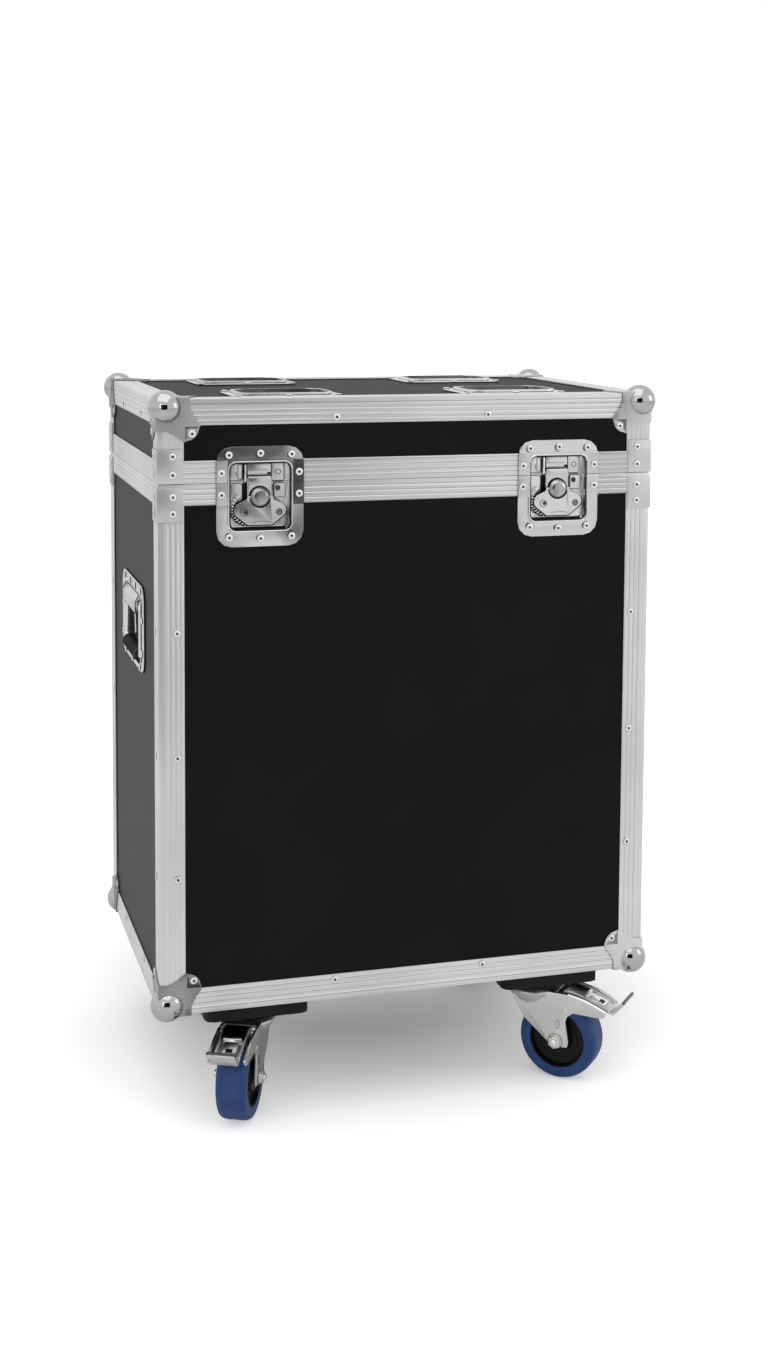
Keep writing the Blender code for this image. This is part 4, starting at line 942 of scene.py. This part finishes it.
def lower_latch():
    """The dish half on the base, with its guide pads and the torsion spring."""
    pieces = latch_half("front_left_latch_dish", "base", BASE_REACH)
    # a painted shadow that the spring casts on the pan, as a flat dark band
    spring_shadow = [(x, y, SPRING_SHADOW_LEVEL) for x, y in ((-24, 1), (-30, -7), (-30.5, -18), (-24.5, -26.5), (-14, -31))]
    pieces.append(resized(wire(spring_shadow, 4.2, HUB_BLACK_AND_SHADE), (1, 1, 0.08), (0, 0, SPRING_SHADOW_LEVEL)))
    pieces += [
        # guide pad with its hole on the right, the hole drawn in painted shade
        pad((17.5, -1, -9.3), (30.5, 15.2, PAD_FACE), 1.5, 0.5, PAN_STEEL),
        hoop(21.8, 9.5, -5.9, 2.7, 0.4, MANDREL_AND_SHADE),
        boss(21.8, 9.5, -6.2, 2.5, 0.2, MANDREL_AND_SHADE),
        # plate on the left, painted shade in the gap beside the draw plate, a painted shadow along the foot
        # of the pan with a painted highlight on the edge above it, the spring, and its end in painted shade
        pad((-34.2, -9, FLOOR), (-19.6, 15.2, -8.3), 3, 0.4, WING_STEEL),
        slab((-19.4, -12, FLOOR), (-13.5, 15.8, -9.15), 0, 0, HUB_BLACK_AND_SHADE),
        slab((-33.5, -38.4, FLOOR), (30.5, -34.4, -4.6), 0.5, 0, HUB_BLACK_AND_SHADE),
        wire([(-32, -34.0, -4.8), (27.5, -34.0, -4.8)], 0.6, BRIGHT_ZINC),
        wire(spring_path(), 0.75, BRIGHT_ZINC, 1),
        wire([(-14, -31, -8.5), (-12.5, -33.5, -8.5)], 0.55, SHADED_ZINC, 1),
    ]
    return joined("latch_base", pieces)


def upper_latch():
    """The dish half on the lid, with its guide pads and the lines of the keeper."""
    pieces = latch_half("front_left_latch_keeper", "lid", LID_REACH)
    pieces += [
        # guide pad with its hole on the right drawn in painted shade, and a painted highlight down its right
        # edge
        pad((14.6, 18.3, -9.3), (28.8, 38.6, PAD_FACE), 1.5, 0.5, WING_STEEL),
        hoop(22.2, 28.2, -5.9, 2.9, 0.4, MANDREL_AND_SHADE),
        wire([(30.2, 18, -7.5), (30.2, 38, -7.5)], 0.8, BRIGHT_ZINC),
        # strap on the left with its hole in painted shade, its loop in painted shade, painted shade in the
        # gap beside the draw plate, and the upright tab beside the keeper in painted highlight with painted
        # shade round its top
        pad((-34.2, 18.9, FLOOR), (-19.6, 38.6, -8.4), 1.5, 0.4, WING_STEEL),
        slab((-34.6, 23.2, -8.6), (-32.6, 28.4, -8.3), 0.8, 0, HUB_BLACK_AND_SHADE),
        bead((-24.4, 19.9), (-19.0, 37.2), -8.3, 2, 0.4, SHADED_ZINC, 1),
        slab((-26.8, 23.5, -8.6), (-25.9, 28.5, -8.3), 0.2, 0, MANDREL_AND_SHADE),
        slab((-18.6, 17.7, FLOOR), (-13.5, 39.9, -9.15), 0, 0, HUB_BLACK_AND_SHADE),
        slab((-17.5, 17.6, -9.3), (-15.2, 37.6, -4.6), 0, 0.5, BRIGHT_ZINC),
        bead((-19.4, 36), (-12.8, 39.2), -6.4, 1.4, 0.45, SHADED_ZINC, 1),
        # pressed lines on the keeper in painted shade, and a painted shadow at its corner
        wire([(-13, 30.6, -5.6), (9.5, 30.6, -5.6)], 0.25, SHADED_ZINC, 1),
        wire([(-13, 26, -5.9), (13, 26, -5.9)], 0.4, HUB_BLACK_AND_SHADE, 1),
        slab((9.3, 25.2, -5.9), (13.3, 28.0, -5.6), 0.6, 0, HUB_BLACK_AND_SHADE),
    ]
    return joined("latch_lid", pieces)


def draw_plate():
    """The draw plate, with a painted highlight on its fold and left edge, and a painted shade line down the
    right.
    """
    plate = coat(broken_edges("front_left_latch_hook", 0.4 * MM, place=LATCH), WING_STEEL)
    return joined("draw_plate", [
        plate,
        wire([(-13.2, 22.6, -4.2), (13.2, 22.6, -4.2)], 0.85, BRIGHT_ZINC),
        wire([(-13.9, 21.5, -4.1), (-13.9, 1.5, -4.1)], 0.5, BRIGHT_ZINC),
        wire([(14.1, 22, -5.0), (14.1, 1.5, -5.0)], 0.45, HUB_BLACK_AND_SHADE, 1),
    ])


def cam():
    """The rotor: a domed head with a stepped crown, standing on a black disc that paints the shade in the gap
    round it.
    """
    # over the dome's edge, up to its flat, and across a round groove
    crown = (
        (0.5, 0.5), (0.7, 1.0), (1.2, 1.1), (1.6, 0.6),
        (0.5, 0.15), (0.3, -0.35), (0.3, -0.1), (0.3, 0.35), (2.6, 0.15),
    )
    head = boss(0, 0, -8.9, 10.9, 8.5, CAM_STEEL, crown, 72)
    return joined("cam", [head, boss(0, 0, -3.4, 12.6, 0.5, HUB_BLACK_AND_SHADE, vertices=48)])


def wing():
    """The folding wing with its two dimples in painted shade, the pressed line at its foot in painted shade,
    and a painted shade line in the gap round the cam.
    """
    plate = coat(broken_edges("front_left_latch_wing", 0.45 * MM, place=LATCH, segments=3), WING_STEEL)
    smooth(plate, 20)
    # a dark copy beneath the plate, a painted shadow that shows as a line round it
    under = coat(placed(plate, Matrix.Identity(4)), HUB_BLACK_AND_SHADE)
    resized(under, (1.045, 1.035, 0.4), (0, 0, -2.5))
    foot = [(-8.8, -28.9, -0.75), (-3, -28.1, -0.7), (5, -28.1, -0.7), (11, -28.7, -0.75), (15, -30.2, -0.75)]
    angles = [math.radians(degrees) for degrees in range(185, 356, 9)]
    gap = [(12.1 * math.cos(angle), 12.1 * math.sin(angle), -1.0) for angle in angles]
    return joined("wing", [
        plate, under,
        hoop(-18.5, -17.5, -0.75, 4.2, 0.45, SHADED_ZINC),
        boss(-17.0, -17.3, -0.9, 2.4, 0.35, MANDREL_AND_SHADE),
        hoop(22.4, -17.5, -0.75, 3.0, 0.9, MANDREL_AND_SHADE),
        boss(22.4, -17.5, -0.9, 1.6, 0.5, SHADED_ZINC),
        wire(foot, 0.3, SHADED_ZINC, 1),
        wire(gap, 0.75, HUB_BLACK_AND_SHADE),
    ])


LATCH_PIECES = (
    ("dish", "base", lower_latch()), ("keeper", "lid", upper_latch()), ("hook", None, draw_plate()),
    ("rotor", None, cam()), ("wing", None, wing()),
)
for name, (x, y) in SIGNS.items():
    place = on_face(0 if y < 0 else 180, -x * y * LATCH_X, LATCH_Z, HALF_DEPTH)
    for part, body, source in LATCH_PIECES:
        node = f"{name}_latch_{part}"
        piece = fit(placed(source, place, f"{node}_finished"), body or node, "zinc_steel", node)
        if x < 0:
            # the left-hand latches get a painted dark reflection where they step over the rim
            for slot, one in enumerate(piece.data.materials):
                if one == FLANK_STEEL:
                    piece.data.materials[slot] = SHADED_ZINC
for _, _, source in LATCH_PIECES:
    discard(source)


# Sprung handles, in millimetres from the middle of the flange

HANDLE = on_face(-90, 0, HANDLE_Z, HALF_WIDTH)
HINGE_Y = 27
HINGE_LEVEL = -2
GRIP_Y = -62
GRIP_RADIUS = 8.2
RIB_PITCH = 5


def in_recess(centre, normal):
    """1 for the faces deep in the handle's dish, which take the painted shade of the recess."""
    return int(centre.z < -3 * MM)


def handle_plate():
    """The dish with its rivets, and the spring's bent wire in the recess of painted shade."""
    plate = broken_edges("left_handle_dish", 0.4 * MM, place=HANDLE)
    coat_by(plate, (HANDLE_STEEL, RECESS_ZINC), in_recess)
    # the hood is pressed flatter than the stiff shape beneath it
    resized(plate, (1, 1, 0.55), (0, 0, 0.3), lambda v: v.co.z > 1.2 * MM)
    places = [(x, 45.5) for x in (-66, -22, 22, 66)] + [(x, y) for x in (-78.5, 78.5) for y in (12, -28)]
    places += [(x, -48.4) for x in (-58, 0, 58)]
    # the rolled lip in painted highlight
    lip = sliced(bead((-68.7, -45.7), (68.7, 34.6), 0.6, 10, 0.8, BRIGHT_ZINC), (0, 33, 0), (0, 1, 0))
    # painted shade lines round the flange, outside the lip and along the hood
    lines = [
        bead((-89, -52.5), (89, 52.5), -0.9, 20, 0.7, HUB_BLACK_AND_SHADE, 1),
        wire([(-53, 39.3, 0.5), (53, 39.3, 0.5)], 0.5, MANDREL_AND_SHADE),
        wire([(-53, 17.2, 4.6), (53, 17.2, 4.6)], 0.6, HUB_BLACK_AND_SHADE),
    ]
    for side in (-1, 1):
        bends = ((46, 24, -9), (45, 6, -9.5), (41, -12, -9.5), (34, -24, -9))
        spring = [(side * x, y, z) for x, y, z in bends]
        hood = [(side * 53.2, y, z) for y, z in ((39, 0.6), (31, 4.9), (17.5, 4.9))]
        # the spring, and painted shade lines down the hood's ends and beside the recess
        lines += [
            wire(spring, 1.2, HANDLE_STEEL), wire(hood, 0.5, MANDREL_AND_SHADE),
            wire([(side * 70.2, 33, 0.5), (side * 70.2, -40, 0.5)], 0.4, MANDREL_AND_SHADE),
        ]
    return joined("handle_plate", [plate, smooth(lip, 60)] + rivets_at(places, 0.5) + lines)


def bail():
    """The bail about its hinge: a chrome loop, and a moulded grip with a ring at each end and fine ribs."""
    loop = bead((-60, GRIP_Y), (60, 0), 0, 10, 4, BAR_CHROME, 4)
    ends = ((-0.8, 0), (0, 2.6), (0.9, 0.9), (1.6, 0.5), (1.2, -0.1))
    grip = turned(GRIP_RADIUS, 90, ends, both=True)
    grip.data.transform(Matrix.Translation((0, GRIP_Y * MM, 0)) @ Matrix.Rotation(math.pi / 2, 4, "Y"))
    pieces = [loop, coat(smooth(grip, 40), GRIP_BLACK)]
    for step in range(18):
        bpy.ops.mesh.primitive_torus_add(
            major_segments=32, minor_segments=6, major_radius=GRIP_RADIUS * MM, minor_radius=0.7 * MM,
            location=((step - 8.5) * RIB_PITCH * MM, GRIP_Y * MM, 0), rotation=(0, math.pi / 2, 0),
        )
        pieces.append(coat(smooth(settle(bpy.context.object), 60), GRIP_BLACK))
    return joined("bail", pieces)


HANDLE_PLATE = handle_plate()
BAIL = bail()
for name, turn in (("left", -90), ("right", 90)):
    place = on_face(turn, 0, HANDLE_Z, HALF_WIDTH)
    node = f"{name}_handle_dish"
    fit(placed(HANDLE_PLATE, place, f"{node}_finished"), "base", "zinc_steel", node)
    node = f"{name}_handle_bail"
    hinge = place @ Matrix.Translation((0, HINGE_Y * MM, HINGE_LEVEL * MM))
    fit(placed(BAIL, hinge, f"{node}_finished"), node, "chrome_bar", node)
discard(HANDLE_PLATE, BAIL)


# Stacking dishes, in millimetres from the middle of each on the lid's top

def in_well(centre, normal):
    """1 for the faces down in the well, which take painted shade."""
    return int(centre.z < -1 * MM)


def stacking_dish():
    """The dish with painted shade lines round its flange and well, its well in painted shade, and rivets in
    its corners and on its long sides.
    """
    place = Matrix.Translation((-DISH_X, -DISH_Y, CASE_TOP))
    plate = broken_edges("front_left_stacking_dish", 0.5 * MM, place=place)
    coat_by(plate, (WING_STEEL, SHADED_ZINC), in_well)
    lines = [
        bead((-56.6, -39.6), (56.6, 39.6), 0.5, 17, 0.6, SHADED_ZINC, 1),
        bead((-53.4, -36.4), (53.4, 36.4), 2.6, 14, 0.5, SHADED_ZINC, 1),
    ]
    places = [(x, y) for x in (-59, 59) for y in (-44, 44)] + [(0, -45.5), (0, 45.5)]
    return joined("stacking_dish", [plate] + lines + rivets_at(places, 0.3))


DISH = stacking_dish()
for name, (x, y) in SIGNS.items():
    node = f"{name}_stacking_dish"
    place = Matrix.Translation((x * DISH_X, y * DISH_Y, CASE_TOP))
    fit(placed(DISH, place, f"{node}_finished"), "lid", "zinc_steel", node)
discard(DISH, RIVET)


# Castors, in millimetres from the kingpin at the case's underside: x along the trail, y across, z up

HEADING = Matrix.Rotation(math.radians(HEADINGS["front_left"]), 4, "Z")
KINGPIN = Matrix.Translation((-CASTOR_X, -CASTOR_Y, CASE_BOTTOM)) @ HEADING
AXLE = Vector((TRAIL, 0, -AXLE_DROP)) / MM
PIN = Vector((PEDAL_OUT, 0, -PEDAL_DROP)) / MM
CHEEK_OUT = 23.5
TYRE_RADIUS = 50
HUB_RADIUS = 35.6
# where the pedal's channel gives way to its tread, and half the channel's width
TREAD_START = 22
CHANNEL_HALF = 13.9


def on_cheek(side, x, z, out=CHEEK_OUT):
    """The frame of a piece that faces out from a fork cheek."""
    return Matrix.Translation(Vector((x, side * out, z)) * MM) @ Matrix.Rotation(-side * math.pi / 2, 4, "X")


def in_crown(centre, normal):
    """1 on the ball race under the plate, apart from its underside."""
    return int(centre.z > -31 * MM and centre.xy.length < 31.5 * MM and normal.z > -0.5)


def fork():
    """The pressed fork with its axle bolt in a painted shade ring, bright brake rivets, pressed marks
    outlined in painted shade, and rolled edges along the beak in painted highlight.
    """
    plate = broken_edges("front_left_castor_fork", 0.7 * MM, place=KINGPIN, segments=3)
    pieces = [coat_by(plate, (FORK_STEEL, HUB_BLACK_AND_SHADE), in_crown)]
    washer = boss(0, 0, 0, 9.0, 0.7, FORK_STEEL, ((0.4, 0.2),), 40)
    stud = boss(0, 0, 4.9, 4.2, 2.4, BRIGHT_ZINC, ((0.6, 0.5),), 24)
    tap = boss(0, 0, 0, 2.6, 0.5, BRIGHT_ZINC, ((0.8, 0.5), (0.6, 0.15)), 20)
    mark = bead((-2.0, -5.5), (2.0, 5.5), 0, 1.9, 0.35, SHADED_ZINC, 1)
    shade_outline = hoop(0, 0, 0.1, 9.3, 0.45, MANDREL_AND_SHADE)
    for side in (-1, 1):
        pieces += [placed(source, on_cheek(side, AXLE.x, AXLE.z)) for source in (washer, stud, shade_outline)]
        pieces.append(placed(tap, on_cheek(side, 50, -52, CHEEK_OUT - 0.1)))
        pieces.append(placed(mark, on_cheek(side, 40, -71)))
        beak = [(x, side * 22, z) for x, z in ((53, -31.6), (75, -35.9), (90, -41.4), (102.4, -46.6))]
        pieces.append(wire(beak, 1.9, BRIGHT_ZINC, 3))
    discard(washer, stud, shade_outline, tap, mark)
    return joined("fork", pieces)


def on_hub(centre, normal):
    return int(centre.xy.length < HUB_RADIUS * MM)


def wheel():
    """Blue tyre with a fine seam on a black ribbed hub, turned about the axle."""
    # from the tread round its shoulder, down the tyre's wall, and over the hub's rim, dish and boss
    steps = (
        (0.35, 3.2), (0.9, 2.6), (1.3, 1.8), (1.6, 0.9),
        (4.6, 0.05), (5.6, -0.1), (0.5, -0.6), (0.2, 0.0), (0.5, 0.7),
        (1.0, 0.1), (1.5, -5.4), (7.0, -0.4), (0.3, 0.5), (0.6, 0.0), (0.3, -0.5), (5.4, 0.2),
        (1.6, 4.7), (1.2, 0.4), (6.0, 0),
    )
    obj = turned(TYRE_RADIUS, 19, steps, vertices=96, both=True)
    smooth(coat_by(obj, (TYRE_BLUE, HUB_BLACK_AND_SHADE), on_hub))
    made = joined("wheel", [obj, hoop(0, 0, 0, TYRE_RADIUS - 0.3, 0.3, TYRE_BLUE)])
    made.data.transform(Matrix.Rotation(math.pi / 2, 4, "X"))
    return made


def in_channel(centre, normal):
    """1 inside the pedal's channel, which takes painted shade, 2 on top of its tread, and 0 on its outside.
    """
    top = abs(centre.y) < CHANNEL_HALF * MM and (normal.z > 0.2 or abs(normal.y) > 0.9)
    return int(top) * (1 + int(centre.x > TREAD_START * MM))


def pedal():
    """The pedal about its pin: a channel in painted shade with a bright spring plate on its tread, and a
    rolled toe in painted shade.
    """
    place = KINGPIN @ Matrix.Translation(PIN * MM)
    plate = broken_edges("front_left_brake_pedal", 0.4 * MM, place=place)
    sliced(plate, (TREAD_START, 0, 0), (1, 0, 0), clear=False)
    coat_by(plate, (FORK_STEEL, SHADED_ZINC, WING_STEEL), in_channel)
    slope = math.atan2(15.5, 45)
    tread = Matrix.Translation((8 * MM, 0, 4.2 * MM)) @ Matrix.Rotation(slope, 4, "Y")
    fittings = [
        slab((14, -8.5, 0), (40, 8.5, 1.1), 1.5, 0.4, BRIGHT_ZINC),
        slab((13, -11, 0.6), (17.5, 11, 3.2), 1.2, 0.6, BRIGHT_ZINC),
        slab((31, -4.2, 0.9), (37.5, 4.2, 1.3), 0.6, 0, HUB_BLACK_AND_SHADE),
        slab((41, -13, 0), (47, 13, 0.6), 0.6, 0.2, FORK_STEEL),
    ]
    pieces = [plate] + [placed(source, tread) for source in fittings]
    discard(*fittings)
    pieces.append(wire([(73.8, -17.6, 3.8), (73.8, 17.6, 3.8)], 2.0, SHADED_ZINC, 3))
    pieces.append(wire([(60, -16.2, -12.2), (60, 16.2, -12.2)], 1.5, FORK_STEEL, 3))
    return joined("pedal", pieces)


CASTOR_PIECES = (
    ("castor_fork", "zinc_steel", Vector(), fork()), ("castor_wheel", "blue_tyre", AXLE, wheel()),
    ("brake_pedal", "zinc_steel", PIN, pedal()),
)
for name, (x, y) in SIGNS.items():
    heading = Matrix.Rotation(math.radians(HEADINGS[name]), 4, "Z")
    place = Matrix.Translation((x * CASTOR_X, y * CASTOR_Y, CASE_BOTTOM)) @ heading
    for part, slot, start, source in CASTOR_PIECES:
        node = f"{name}_{part}"
        moved = placed(source, place @ Matrix.Translation(start * MM), f"{node}_finished")
        fit(moved, node, slot, node)
for _, _, _, source in CASTOR_PIECES:
    discard(source)
